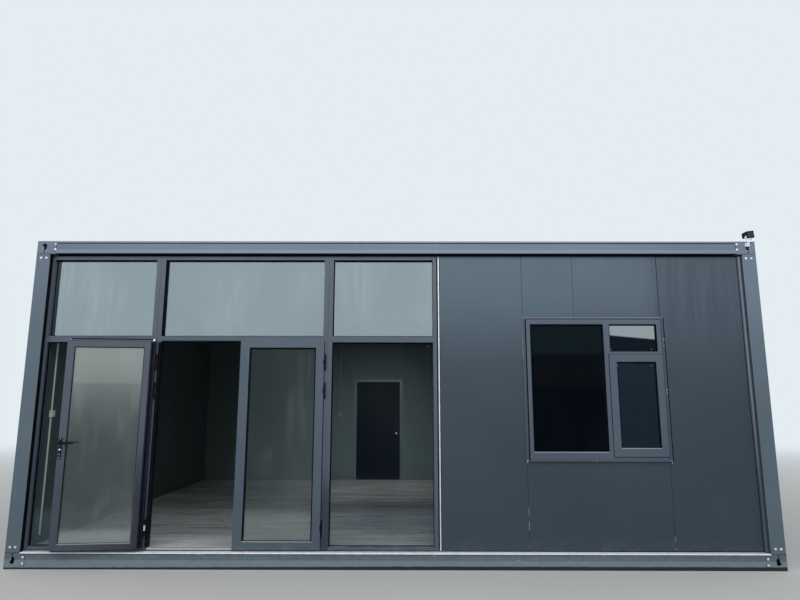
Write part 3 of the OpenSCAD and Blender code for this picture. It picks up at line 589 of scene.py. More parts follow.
def islands(node, place=IDENTITY):
    """Boxes of a node's separate solids, in the frame that place turns them into."""
    mesh = bmesh.new()
    mesh.from_mesh(nodes[node].data)
    bmesh.ops.remove_doubles(mesh, verts=mesh.verts, dist=1e-5)
    left, found = set(mesh.verts), []
    while left:
        stack, spots = [left.pop()], []
        while stack:
            corner = stack.pop()
            spots.append(place @ (corner.co * PER_METRE))
            near = {edge.other_vert(corner) for edge in corner.link_edges} & left
            left -= near
            stack.extend(near)
        found.append((Vector(map(min, zip(*spots))), Vector(map(max, zip(*spots)))))
    mesh.free()
    return sorted(found, key=lambda pair: (round(pair[0].z), pair[0].x))


def facing(spot, direction):
    """Matrix with local +Z along a direction, at a spot."""
    turn = Vector(direction).to_track_quat("Z", "Y").to_matrix().to_4x4()
    return Matrix.Translation(spot) @ turn


def bolt(mesh, spot, direction, size, turn):
    """Hexagon head on a round washer, standing on a face."""
    place = facing(spot, direction) @ Matrix.Scale(size, 4)
    turned(mesh, place, [(0, 0), (14.5, 0), (15, 1), (14.5, 2.8), (10, 3), (0, 3)])
    turned(mesh, place @ Matrix.Rotation(turn, 4, "Z"),
           [(11.2, 3), (11.8, 3.6), (11.8, 9.8), (10.2, 11.2), (6, 11.4), (0, 11)], 6)


def screw(mesh, place, radius):
    """Low domed screw head with a recess, standing on local +Z. Its profile is in radii."""
    turned(mesh, place @ Matrix.Scale(radius, 4),
           [(1, 0), (0.98, 0.18), (0.75, 0.45), (0.35, 0.55), (0.22, 0.30), (0, 0.30)], 14)


def blob(mesh, spot, wide, tall, depth):
    """Small uneven dab or chip on a face that looks along -Y, by its half width, half height
    and depth."""
    place = facing(spot, (0, -1, 0)) @ Matrix.Diagonal((wide, tall, depth, 1))
    turned(mesh, place, [(1.0, 0), (0.92, 0.35), (0.62, 0.8), (0.25, 1.0), (0, 0.95)], 9)


# The left leaf is drawn shut and turned to its place about its hinge
left_joint = joints["left_door_hinge"]
hinge_spot = Vector(left_joint["pos_m"]) * PER_METRE
open_angle = math.radians(left_joint["range_deg"][1])
LEFT_REST = (Matrix.Translation(hinge_spot) @ Matrix.Rotation(-open_angle, 4, "Z")
             @ Matrix.Translation(-hinge_spot))


# Bolts, holes covered by black discs of painted shade, folds and weld lines at every corner of
# both modules
def corner_faces():
    """(corner spot at z 0, direction along the beam, direction out of the face)."""
    for sign in (-1, 1):
        x = sign * HALF_LENGTH
        for way in (-1, 1):
            yield Vector((x, way * HALF_DEPTH, 0)), Vector((-sign, 0, 0)), Vector((0, way, 0))
        for y, run in ((-HALF_DEPTH, 1), (-SEAM, -1), (SEAM, 1), (HALF_DEPTH, -1)):
            yield Vector((x, y, 0)), Vector((0, run, 0)), Vector((sign, 0, 0))


def strip_on(mesh, face, reach, z, proud, bevel=0):
    """Thin block on a corner's face, between two distances along it and two heights."""
    corner, run, out = face
    first = corner + run * reach[0] + Vector((0, 0, z[0]))
    second = corner + run * reach[1] + Vector((0, 0, z[1])) + out * proud
    block(mesh, first, second, bevel)


# (distance along the beam from the corner, height)
BOLT_SPOTS = [(190, 55), (190, 115), (47, 213), (103, 213),
              (203, 3365), (203, 3427), (53, 3267), (113, 3267)]
HOLE_SPOTS = [(80, 143), (80, 3336)]
HOLE_RADIUS = 8.5

bolts = piece("frame_bolts", ZINC)
holes = piece("frame_hole_shade_discs", BLACK_JOINT_AND_SHADE)
rims = piece("frame_hole_rims", STEEL, smooth=True)
seams = piece("frame_weld_lines", BLACK_JOINT_AND_SHADE)
folds = piece("post_folds", STEEL)
for face in corner_faces():
    corner, run, out = face
    for i, (reach, z) in enumerate(BOLT_SPOTS):
        bolt(bolts, corner + run * reach + Vector((0, 0, z)), out, 0.80, i * 0.37)
    for reach, z in HOLE_SPOTS:
        spot = facing(corner + run * reach + Vector((0, 0, z)), out)
        # Black disc over each hole: painted shade of its inside
        turned(holes, spot, [(HOLE_RADIUS, 0), (HOLE_RADIUS, 0.6), (0, 0.6)], 18)
        turned(rims, spot, [(HOLE_RADIUS + 2.5, 0), (HOLE_RADIUS + 2, 1.6),
                            (HOLE_RADIUS, 1.8), (HOLE_RADIUS, 0)], 18)
    for z in (BASE_Z, ROOF_Z):
        strip_on(seams, face, (1, POST_WIDTH - 1), (z - 2, z + 2), 0.6)
    for z0, z1 in ((4, BASE_Z - 4), (ROOF_Z + 4, TOP_Z - 4)):
        strip_on(seams, face, (BLOCK_LENGTH - 1, BLOCK_LENGTH + 1), (z0, z1), 0.4)
    strip_on(folds, face, (POST_WIDTH - 26, POST_WIDTH - 1), (BASE_Z + 3, ROOF_Z - 3), 2, 0.7)

# Bright worn edges on the inner sides of the front posts
edges = piece("post_worn_edges", PALE_WEAR_AND_HIGHLIGHT, slot="frame_steel")
for sign, wide in ((-1, 2.2), (1, 2.6)):
    x = sign * POST_EDGE
    block(edges, (x - sign * 0.2, -HALF_DEPTH + 0.5, BASE_Z + 30),
          (x - sign * wide, -HALF_DEPTH + 3, ROOF_Z - 25), 0.4)

# Pale ledge on the base beams, near white as a painted highlight where it faces the sky, with
# its rolled front edge and a dark line under it, a painted shadow under the lip
LEDGE_SECTION = [(0.8, BASE_Z), (0, 154), (-1.4, 152.5), (-1.4, 161.5),
                 (1.2, 163.2), (90, 162.5), (90, BASE_Z)]
SHADOW_LINE_SECTION = [(-0.4, 146), (-0.4, 152), (1, 152), (1, 146)]
FRONT_RUN = 2 * (POST_EDGE - 2)
END_RUN = HALF_DEPTH - SEAM - 2 * POST_WIDTH - 4
ledge = piece("base_ledge_strips", LEDGE)
under_lip_shadows = piece("base_ledge_shadow_lines", BLACK_JOINT_AND_SHADE)
for sign in (-1, 1):
    flip = IDENTITY if sign < 0 else FLIP
    runs = [(flip @ Matrix.Translation((-FRONT_RUN / 2, -HALF_DEPTH, 0)) @ ALONG_X, FRONT_RUN)]
    for start in (-HALF_DEPTH, SEAM):
        mirror = Matrix.Diagonal((-sign, 1, 1, 1))
        spot = Matrix.Translation((-HALF_LENGTH, start + POST_WIDTH + 2, 0))
        runs.append((mirror @ spot @ ALONG_Y, END_RUN))
    for place, length in runs:
        bar(ledge, LEDGE_SECTION, place, length)
        bar(under_lip_shadows, SHADOW_LINE_SECTION, place, length)

# Black strips as painted shade: on the post faces beside the walls, under the roof beams, in
# their groove, and beside and over the pressed return. Beside the pressed return the post is
# only in shade, painted in a shaded grey, as is a strip on the return's face.
SHADE_STRIP_Y = HALF_DEPTH - 3.5
SHADE_STRIP_Z = (BASE_Z + 6, ROOF_Z - 2)
GROOVE_IN = (5.5, 7.2)
GROOVE_Z = (3433, 3441.2)
BEAM_REACH = HALF_LENGTH - BLOCK_LENGTH - 2
black_shade_strips = piece("frame_black_strips", SEAL)
shaded = piece("post_shaded_side", SHADED_STEEL)
trim_low, trim_high = (corner * PER_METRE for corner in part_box("post_trim"))
for sign, face, strips in ((-1, FRONT_FACE, black_shade_strips), (1, trim_low.y, shaded)):
    x0, x1 = sign * POST_EDGE, sign * (POST_EDGE - 1)
    block(strips, (x0, -SHADE_STRIP_Y, SHADE_STRIP_Z[0]), (x1, face - 0.5, SHADE_STRIP_Z[1]))
    block(black_shade_strips, (x0, SHADE_STRIP_Y, SHADE_STRIP_Z[0]), (x1, 0.5 - FRONT_FACE, SHADE_STRIP_Z[1]))
for flip in (IDENTITY, FLIP):
    block(black_shade_strips, (-BEAM_REACH, GROOVE_IN[0] - HALF_DEPTH, GROOVE_Z[0]),
          (BEAM_REACH, GROOVE_IN[1] - HALF_DEPTH, GROOVE_Z[1]), 0, flip)
    block(black_shade_strips, (-BEAM_REACH, 7.5 - HALF_DEPTH, ROOF_Z - 1.2),
          (BEAM_REACH, FRONT_FACE - 1.5, ROOF_Z), 0, flip)
for sign in (-1, 1):
    x0, x1 = (sign * (HALF_LENGTH - inset) for inset in GROOVE_IN)
    for y0, y1 in ((-HALF_DEPTH, -SEAM), (SEAM, HALF_DEPTH)):
        block(black_shade_strips, (x0, y0 + BLOCK_LENGTH + 2, GROOVE_Z[0]),
              (x1, y1 - BLOCK_LENGTH - 2, GROOVE_Z[1]))
block(shaded, (trim_high.x - 12, trim_low.y - 0.8, trim_low.z + 3),
      (trim_high.x - 1, trim_low.y, ROOF_Z - 18))
front_strip(black_shade_strips, (trim_low.x - 6.5, trim_low.x - 0.3),
            (trim_low.z + 3, ROOF_Z - 18), (0.8, 0))
block(black_shade_strips, (trim_low.x - 0.3, trim_low.y - 1, ROOF_Z - 17),
      (trim_high.x - 1, trim_low.y, ROOF_Z - 1.5))

# Black reveals, partly painted shade, gasket rings and inner beads of the fixed glazing
X_LEFT_BAY = along(1330)
reveal_shade_gaskets = piece("screen_gaskets", SEAL)
beads = piece("screen_glazing_beads", FRAME)
for node, recess in (("upper_panes", 12), ("fixed_panes", 28)):
    for low, high in islands(node):
        rect = (low.x, high.x, low.z, high.z)
        front, back = low.y, high.y
        lip, start = 8, FRONT_FACE + 4
        if high.x < X_LEFT_BAY:
            lip, start = 3, front - recess
        x0, x1, z1 = low.x + 0.3, high.x - 0.3, high.z - 0.3
        picture_frame(reveal_shade_gaskets, rect, [(0.4, front - 7), (2.2, front - 7),
                                      (3.4, front - 5), (4.2, front - 0.5), (0.4, front - 0.5)])
        # Black in the left and top reveals only, with a wider lip there: painted shade
        block(reveal_shade_gaskets, (x0, start, low.z + 3), (low.x + 1.6, front - 6, z1))
        block(reveal_shade_gaskets, (x0, front - 5.5, low.z + 3), (low.x + lip, front - 0.4, z1), 0.5)
        block(reveal_shade_gaskets, (x0, FRONT_FACE + 4, high.z - 1.6), (x1, front - 6, z1))
        block(reveal_shade_gaskets, (x0, front - 5.5, high.z - lip - 3), (x1, front - 0.4, z1), 0.5)
        bead(beads, rect, back, FRONT_INNER - 1, 6)
        picture_frame(reveal_shade_gaskets, rect, [(5.5, back + 0.3), (5.5, back + 4),
                                      (7, back + 3), (7.5, back + 0.3)])
        if node == "upper_panes":
            block(reveal_shade_gaskets, (low.x + 4, front - 5, low.z + 4),
                  (high.x - 4, front - 0.8, low.z + 10), 1)

# Seals round the doorway, its ribbed liner, black as a painted shade on the doorway's sides,
# and the ribs on the sill
X_DOOR_0, X_DOOR_1 = along(1427), along(3208)
LINER_RIBS = (12, 44, 56, 68)
SILL_RIBS, SILL_RIB_PITCH = 5, 6.6
SEAL_OUT = (3.5, -0.5)
seal = piece("doorway_seals_and_leaf_shade", SEAL)
jamb_shade_liner = piece("doorway_liner_shade", DOORWAY_SHADE_BLACK)
ribs = piece("threshold_ribs", SILL)
# The two narrow strips 16 to 23 and 46 to 54 mm left of the doorway, on the upright beside the left leaf, are
# partly sealing strip and partly a painted shadow of the open leaf
for x0, x1, out, bevel in (
        (X_DOOR_0 - 16, X_DOOR_0, 3.5, 1),
        (X_DOOR_1, X_DOOR_1 + 16, 3.5, 1),
        (X_DOOR_0 - 54, X_DOOR_0 - 46, 1.2, 0),
        (X_DOOR_0 - 23, X_DOOR_0 - 16.2, 3.4, 0),
        (X_DOOR_1 + 17, X_DOOR_1 + 23, 1.2, 0)):
    front_strip(seal, (x0, x1), (DOOR_LOW_Z, DOOR_HIGH_Z), (out, SEAL_OUT[1]), bevel)
front_strip(seal, (X_DOOR_0 + 10, X_DOOR_1 - 10), (TRANSOM_Z, TRANSOM_Z + 16), SEAL_OUT, 1)
# Ribbed liner on the doorway's sides, black as a painted shade of them
for x, sign in ((X_DOOR_0, 1), (X_DOOR_1, -1)):
    block(jamb_shade_liner, (x, FRONT_FACE + 1, DOOR_LOW_Z), (x + sign, FRONT_INNER - 1, TRANSOM_Z - 1))
    for depth in LINER_RIBS:
        block(jamb_shade_liner, (x + sign * 0.5, FRONT_FACE + depth, DOOR_LOW_Z),
              (x + sign * 2, FRONT_FACE + depth + 3, TRANSOM_Z - 1), 0.4)
block(jamb_shade_liner, (X_DOOR_0 + 2, FRONT_FACE + 1, TRANSOM_Z - 1),
      (X_DOOR_1 - 2, FRONT_INNER - 1, TRANSOM_Z))
for k in range(SILL_RIBS):
    y = LEAF_BACK + 2 + k * SILL_RIB_PITCH
    block(ribs, (X_DOOR_0 + 4, y, FLOOR_Z), (X_DOOR_1 - 4, y + 2.6, FLOOR_Z + 1.2), 0.4)


def leaf_glazing(leaf, rect, place):
    """What holds the glass of a front leaf: a black lining in the outer reveal, a painted shade with
    a gasket lip on the glass, thin beads and a black gasket on the inner face, and a pale ledge
    along the bottom of both, a painted highlight."""
    front = LEAF_FRONT + 23
    back = front + 20
    x0, x1, z0 = rect[:3]
    beads = piece(leaf + "_beads", FRAME, leaf)
    reveal_shade_gaskets = piece(leaf + "_gaskets", SEAL, leaf)
    ledges = piece(leaf + "_glass_ledges", PALE_WEAR_AND_HIGHLIGHT, leaf)
    reveal(reveal_shade_gaskets, rect, LEAF_FRONT, front, 6, place)
    bead(beads, rect, back, LEAF_BACK - 1, 7, place=place)
    picture_frame(reveal_shade_gaskets, rect, [(6.5, back + 0.4), (6.5, back + 6),
                                  (13, back + 4), (15, back + 0.4)], place)
    # Pale ledges along the bottom of the glass, outside and inside: a painted highlight
    block(ledges, (x0 + 1, LEAF_FRONT + 1, z0 + 0.5), (x1 - 1, front - 7, z0 + 10), 1, place)
    block(ledges, (x0 + 8, LEAF_BACK - 1.2, z0 + 0.8), (x1 - 8, back + 7, z0 + 12), 1, place)


def leaf_edges(leaf, body, lip, free, place):
    """Black seals on the edges of a leaf, the pins of its top corners, and dark strips of painted shade
    on its lip and on its back face by the hinge side edge. In x, body and lip are the edges of its
    body and of its lip on the hinge side, and free is its free edge."""
    lip_shade_strips = piece(leaf + "_lip_seal", HINGE_SIDE_SHADE, leaf)
    seals = piece(leaf + "_edge_seals", SEAL, leaf)
    pins = piece(leaf + "_corner_pins", ZINC, leaf, smooth=True)
    out = 1 if free > body else -1
    block(seals, (body, LEAF_LIP + 2, SIDE_SEAL_Z[0]),
          (body - out * 1.2, LEAF_BACK - 1, SIDE_SEAL_Z[1]), 0.4, place)
    block(seals, (free, LEAF_FRONT + 12, SIDE_SEAL_Z[0]),
          (free + out * 3, LEAF_BACK - 12, SIDE_SEAL_Z[1]), 1.2, place)
    for z0, z1 in (FOOT_SEAL_Z, HEAD_SEAL_Z):
        block(seals, (body + out * 10, LEAF_LIP + 3, z0),
              (free - out * 10, LEAF_BACK - 3, z1), 0.4, place)
    block(seals, (lip + out * 24, LEAF_LIP + 0.5, LIP_SEAL_Z[0]),
          (free - out * 18, LEAF_LIP + 3, LIP_SEAL_Z[1]), 0.4, place)
    pin = facing((lip + out * 13, LEAF_LIP, 2350), (0, 1, 0))
    turned(pins, place @ pin, [(12.6, 0), (12.6, 1.2), (10.5, 2.6), (5, 3.2), (0, 3.2)])
    pin = facing((free - out * 10, LEAF_LIP, 2353), (0, 1, 0))
    turned(pins, place @ pin, [(4.2, 0), (3.8, 1.2), (0, 1.6)], 14)
    # Painted shade on the lip and on the back face beside the hinge side edge
    block(lip_shade_strips, (lip + out, LEAF_LIP, 206), (body - out * 1.5, LEAF_LIP + 1, 2346), 0.4, place)
    block(lip_shade_strips, (body + out, LEAF_BACK, 206),
          (body + out * 13, LEAF_BACK + 0.8, 2330), 0.3, place)


SIDE_SEAL_Z = (210, 2325)
FOOT_SEAL_Z = (201.5, 203)
HEAD_SEAL_Z = (2330, 2332)
LIP_SEAL_Z = (2354, 2363)
for leaf, edges, place in (("right_leaf", (3203, 3224, 2312), IDENTITY),
                           ("left_leaf", (1432, 1411, 2302), LEFT_REST)):
    low, high = islands(leaf + "_glass", place.inverted())[0]
    leaf_glazing(leaf, (low.x, high.x, low.z, high.z), place)
    leaf_edges(leaf, *map(along, edges), place)

# Caps, plates and screws of the hinges: (joint, leaf, side of the axis on which the
# leaf lies when shut, heights, place of the fixed halves, place of the moving halves)
HINGES = (("left_door_hinge", "left_leaf", 1, HINGE_HEIGHTS, IDENTITY, LEFT_REST),
          ("right_door_hinge", "right_leaf", -1, HINGE_HEIGHTS, IDENTITY, IDENTITY),
          ("back_door_hinge", "back_leaf", 1, BACK_HINGE_HEIGHTS, FLIP, FLIP))
HINGE_REACH = 82.5
caps = piece("hinge_caps", BLACK, smooth=True)
plates = piece("hinge_plates", FRAME)
screws = piece("hinge_screws", BLACK, smooth=True)
for joint, leaf, side, heights, fixed, moving in HINGES:
    x = joints[joint]["pos_m"][0] * PER_METRE
    leaf_screws = piece(leaf + "_hinge_screws", BLACK, leaf, smooth=True)
    for z in heights:
        for way in (1, -1):
            cap = fixed @ facing((x, HINGE_Y, z + way * HINGE_REACH), (0, 0, way))
            turned(caps, cap, [(9.4, -4), (9.8, 0.6), (8.6, 3.4), (4.5, 5.2), (0, 5.6)])
        front_strip(plates, (x + side * 7.5, x - side * 24),
                    (z - HINGE_REACH, z + HINGE_REACH), (3, 0), 0.8, fixed)
        for rise in (-62, 0, 62):
            spot = facing((x - side * 16, FRONT_FACE - 3, z + rise), (0, -1, 0))
            screw(screws, fixed @ spot, 4.2)
        for rise in (-16, 16):
            spot = facing((x + side * 16.5, HINGE_Y + 4, z + rise), (0, -1, 0))
            screw(leaf_screws, moving @ spot, 3.4)

# Bare metal sleeve that shows on the lowest hinge of the left leaf
sleeve = piece("left_leaf_hinge_sleeve", ZINC, "left_leaf", smooth=True)
spot = Matrix.Translation((hinge_spot.x, HINGE_Y, HINGE_HEIGHTS[0] - 26.5))
turned(sleeve, LEFT_REST @ spot, [(9.1, 0), (9.9, 1), (9.9, 52), (9.1, 53)], 24)

# Lock cylinder, lever rose and screws on both plates of the lever handle
X_LEVER = along(2277)
PLATE_SCREWS = ((1306, 4.2), (1236, 3.6), (1150, 4.6), (1118, 4.2))
silver = piece("left_leaf_lock_cylinder", ZINC, "left_leaf", smooth=True)
dark = piece("left_leaf_lever_roses", BLACK, "left_leaf", smooth=True)
for face, way in ((LEAF_FRONT - 8, -1), (LEAF_BACK + 8, 1)):
    rose = LEFT_REST @ facing((X_LEVER, face, LEVER_Z), (0, way, 0))
    turned(dark, rose, [(10.8, 0), (14.2, 0), (14.2, 2), (12.8, 4), (10.8, 4), (10.8, 0)], 24)
    lock = LEFT_REST @ facing((X_LEVER, face, LOCK_Z), (0, way, 0))
    turned(silver, lock, [(8.8, 0), (8.8, 2.2), (7.2, 3.4), (3.6, 3.4), (3.4, 2.2), (0, 2.2)])
    block(dark, (-0.9, -5.6, 1.5), (0.9, 5.6, 3), 0, lock)
    block(silver, (-4.5, -8.5, 0), (4.5, 8.5, 1.2), 0.4, lock)
    for z, radius in PLATE_SCREWS:
        screw(silver, LEFT_REST @ facing((X_LEVER, face, z), (0, way, 0)), radius)

# Thicker inner half of both levers
grips = piece("left_lever_grips", BLACK, "left_levers")
for y in (LEAF_FRONT - 50, LEAF_BACK + 38):
    block(grips, (X_LEVER - 82, y - 0.6, LEVER_Z - 13.5),
          (X_LEVER + 11.5, y + 12.6, LEVER_Z + 13.5), 4, LEFT_REST)

# Latch plate on the free edge of the left leaf, and its bolt
latch = piece("left_leaf_latch", ZINC, "left_leaf")
for x0, x1, inset, z0, z1 in ((2302, 2305.2, 14, 1120, 1310), (2304, 2306.5, 20, 1250, 1280)):
    block(latch, (along(x0), LEAF_FRONT + inset, z0), (along(x1), LEAF_BACK - inset, z1),
          0.8, LEFT_REST)

# Window: reveals lined black as painted shade, gasket lips, beads, and pale ledges along the
# bottom of the lower panes as a painted highlight
WINDOW_FACE = FRONT_FACE - 5
SASH_FACE = WINDOW_FACE - 12
X_SASH = along(6300)
LOW_PANE_Z = 1300
reveal_shade_gaskets = piece("window_gaskets", SEAL)
beads = piece("window_glazing_beads", FRAME)
ledges = piece("window_glass_ledges", PALE_WEAR_AND_HIGHLIGHT)
for low, high in islands("window_glass"):
    rect = (low.x, high.x, low.z, high.z)
    is_low = low.z < LOW_PANE_Z
    face = SASH_FACE if is_low and low.x > X_SASH else WINDOW_FACE
    reveal(reveal_shade_gaskets, rect, face, low.y, 5)
    bead(beads, rect, high.y, high.y + 14, 12, (3, 4))
    if is_low:
        # Pale ledge along the bottom of a lower pane: a painted highlight
        block(ledges, (low.x + 1, face + 0.5, low.z + 0.5), (high.x - 1, low.y - 6, low.z + 9), 1)

# Dark grooves round the window's frame, sash and flashing, and the flashing's worn edges
X_FRAME_0, X_WINDOW_0, X_WINDOW_1 = along(5432), along(5402), along(6912)
WINDOW_Z = (1084, 2589)
FLASHING_RING = (X_WINDOW_0 - 12, X_WINDOW_1 + 30, 1074, 2615)
WORN_Z = 2160
grooves = piece("window_grooves", BLACK_JOINT_AND_SHADE)
bright = piece("window_worn_edges", PALE_WEAR_AND_HIGHLIGHT, slot="window_flashing")
flat_frame(grooves, (X_FRAME_0, X_WINDOW_1, *WINDOW_Z), -3.5, 0, FRONT_FACE - 3.6, FRONT_FACE - 3)
low, high = (corner * PER_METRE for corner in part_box("window_sash"))
flat_frame(grooves, (low.x, high.x, low.z, high.z), -4.2, 0, WINDOW_FACE - 0.6, WINDOW_FACE)
block(grooves, (low.x, WINDOW_FACE - 0.8, low.z - 7.5), (high.x, WINDOW_FACE, low.z))
front_strip(grooves, (X_FRAME_0 - 8, X_FRAME_0 + 5), (WINDOW_Z[0] + 4, WINDOW_Z[1] - 3), (5.6, 4))
flat_frame(grooves, FLASHING_RING, -2.2, 0, FRONT_FACE - 0.6, FRONT_FACE - 0.2)
x0, x1, z0, z1 = FLASHING_RING
front_strip(grooves, (x1, x1 + 11.5), (z0, z1), (0.7, 0))
front_strip(bright, (x0 + 0.5, x0 + 3.5), (WORN_Z, z1 - 1), (4.2, 3), 0.5)
front_strip(bright, (x0 + 0.5, x1 - 0.5), (z1 - 4.5, z1 - 0.5), (4.2, 3), 0.5)

# Dabs of sealant: for each plane, as its distance out of the front face, a list of (reach
# along the front, height, half width, half height)
DABS = {
    3.5: [(5409, 1083, 6, 4), (5406, 1066, 4, 7), (6931, 1081, 6, 6), (6936, 1062, 4, 5),
          (6934, 1823, 3, 10), (6935, 1790, 3, 5), (6941, 2372, 3, 8), (6937, 2300, 2, 5)],
    28.5: [(6132, 1080, 4, 3)],
    0.3: [(7215, 3193, 3, 3)],
    -20.5: [(6362, 2262, 4, 4), (6808, 2262, 4, 4)],
    -3.5: [(6419, 2086, 4, 4), (6790, 2086, 4, 4)],
    -52: [(4364, 2297, 5, 5)],
}
# Flecks in the panel joints: (reach along the front, top, bottom)
FLECKS = [(5402, 610, 520), (5402, 470, 370), (5402, 230, 210), (6912, 318, 270),
          (6912, 210, 185)]
sealant = piece("sealant_marks", CAULK)
for out, dabs in DABS.items():
    for x, z, wide, tall in dabs:
        blob(sealant, (along(x), FRONT_FACE - out, z), wide, tall, 1.5)
for x, top, bottom in FLECKS:
    front_strip(sealant, (along(x - 0.9), along(x + 0.9)), (bottom, top), (0.6, -1.2), 0.3)

# Paint chips on the front base beam, as (reach along the front, height, half width, half
# height), and thin upright scrapes, as (reach, top, bottom)
CHIPS = [(1990, 143, 34, 4), (2045, 140, 12, 3), (4150, 20, 8, 3),
         (4196, 21, 6, 3), (4408, 142, 13, 6), (4566, 24, 7, 4),
         (5262, 98, 14, 4), (5776, 92, 8, 4), (6130, 146, 20, 3)]
SCRAPES = [(2464, 125, 50), (3602, 150, 24), (5446, 148, 30), (6820, 110, 66)]
chips = piece("base_beam_chips", PALE_WEAR_AND_HIGHLIGHT, slot="frame_steel")
for x, z, wide, tall in CHIPS:
    blob(chips, (along(x), -HALF_DEPTH, z), wide, tall, 0.8)
for x, top, bottom in SCRAPES:
    block(chips, (along(x - 1.1), -HALF_DEPTH - 0.6, bottom),
          (along(x + 1.1), -HALF_DEPTH + 0.4, top), 0.3)

# Inside handle of the window: a plate and a bent grip, as (depth behind the face, height)
X_HANDLE = along(6430)
HANDLE_PATH = ((50, 1655), (78, 1655), (86, 1645), (87, 1620), (83, 1545))
handle = piece("window_handle", BLACK, smooth=True)
block(handle, (X_HANDLE - 12, WINDOW_FACE + 45, 1600), (X_HANDLE + 12, WINDOW_FACE + 53, 1680), 3)
tube(handle, [(X_HANDLE, WINDOW_FACE + depth, z) for depth, z in HANDLE_PATH], 6.5, 14)

# Worn groove in the bare edge strip, and the dark lines at both its sides; the wider left one
# is partly a painted shadow on the frame edge beside it
STRIP_Z = (177, 3298)
strip_lines = piece("edge_strip_groove", BLACK_JOINT_AND_SHADE)
low, high = (corner * PER_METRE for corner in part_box("edge_trim"))
front_strip(strip_lines, (along(4463.5), along(4470.5)), STRIP_Z, (-28, -29.5))
front_strip(strip_lines, (low.x - 7.5, low.x - 0.5), (205, 3290), (1, -1))
front_strip(strip_lines, (high.x - 4.5, high.x + 2), STRIP_Z, (1, -1))

# Sealant in the panel joints over the window
joint_lines = piece("panel_joint_sealant", SEAL)
for x0, x1 in ((X_WINDOW_1 - 3.5, X_WINDOW_1 + 3), (X_WINDOW_0 - 1.5, X_WINDOW_0 + 1.5)):
    front_strip(joint_lines, (x0, x1), (2622, 3297), (0.6, -1))

# Back door: seals round the leaf, a drip strip over it and the lock cylinder
DRIP_SECTION = [(0, 0), (-32, -10), (-34, -18), (-36, -18), (-35, -8), (-1, 4), (0, 4)]
DRIP_SPOT = Matrix.Translation((along(3105), FRONT_FACE, 2150))
DRIP_LENGTH = 980
door_seal = piece("back_door_seal", SEAL)
drip = piece("back_door_drip_strip", FRAME)
door_metal = piece("back_door_lock_cylinder", ZINC, "back_leaf", smooth=True)
for x, sign in ((along(3160), 1), (along(4030), -1)):
    front_strip(door_seal, (x - sign * 14, x), (DOOR_LOW_Z, 2105), SEAL_OUT, 1, FLIP)
front_strip(door_seal, (along(3165), along(4025)), (2110, 2124), SEAL_OUT, 1, FLIP)
bar(drip, DRIP_SECTION, FLIP @ DRIP_SPOT @ ALONG_X, DRIP_LENGTH)
for face, way in ((-LEAF_FRONT, 1), (-LEAF_BACK, -1)):
    spot = facing((along(3960), face, BACK_LOCK_Z), (0, way, 0))
    turned(door_metal, spot, [(15, 0), (15, 3), (11.5, 4.4), (8.8, 4.4), (8.6, 3), (0, 3)], 24)
    block(door_metal, (-0.8, -5, 2.8), (0.8, 5, 3.8), 0, spot)

# Roof: screws along the ribs, and rivets on the rain cap over the joint
ROOF_SPAN = 2 * (HALF_LENGTH - BLOCK_LENGTH)
RIBS = 30
RIB_PITCH = ROOF_SPAN / RIBS
SHEET_TOP = ROOF_Z + 45 + 39 + 1.2
SCREW_ROWS = (-2940, -2220, -1500, -780, -70, 70, 780, 1500, 2220, 2940)
RIVETS = 24
RIVET_REACH = 3700
roof_screws = piece("roof_screws", ZINC)
rivets = piece("rain_cap_rivets", ZINC, smooth=True)
for i in range(RIBS):
    x = -ROOF_SPAN / 2 + (i + 0.225) * RIB_PITCH
    for y in SCREW_ROWS:
        turned(roof_screws, Matrix.Translation((x, y, SHEET_TOP)),
               [(8.5, 0), (8.5, 1.5), (6, 2.2), (4.8, 6.4), (0, 6.6)], 8)
for i in range(RIVETS):
    x = -RIVET_REACH + i * 2 * RIVET_REACH / (RIVETS - 1)
    for y in (-26, 26):
        turned(rivets, Matrix.Translation((x, y, TOP_Z + 3)),
               [(4, 0), (3.6, 1.2), (1.8, 2), (0, 2.2)], 10)

# Room: skirting, which stops short of the corners and of the doorways
BACK_INNER = -FRONT_INNER
SKIRT_Z = (FLOOR_Z, FLOOR_Z + 85)
SKIRT_END = END_INNER - 12
skirting = piece("room_skirting", LINING)
for x0, x1, y, sign in (
        (-SKIRT_END, along(3108), BACK_INNER, -1), (along(4082), SKIRT_END, BACK_INNER, -1),
        (along(4475), SKIRT_END, FRONT_INNER, 1)):
    block(skirting, (x0, y, SKIRT_Z[0]), (x1, y + sign * 10, SKIRT_Z[1]), 2)
for sign in (-1, 1):
    for y0, y1 in ((-2846, -158), (158, 2846)):
        block(skirting, (sign * END_INNER, y0, SKIRT_Z[0]),
              (sign * (END_INNER - 10), y1, SKIRT_Z[1]), 2)

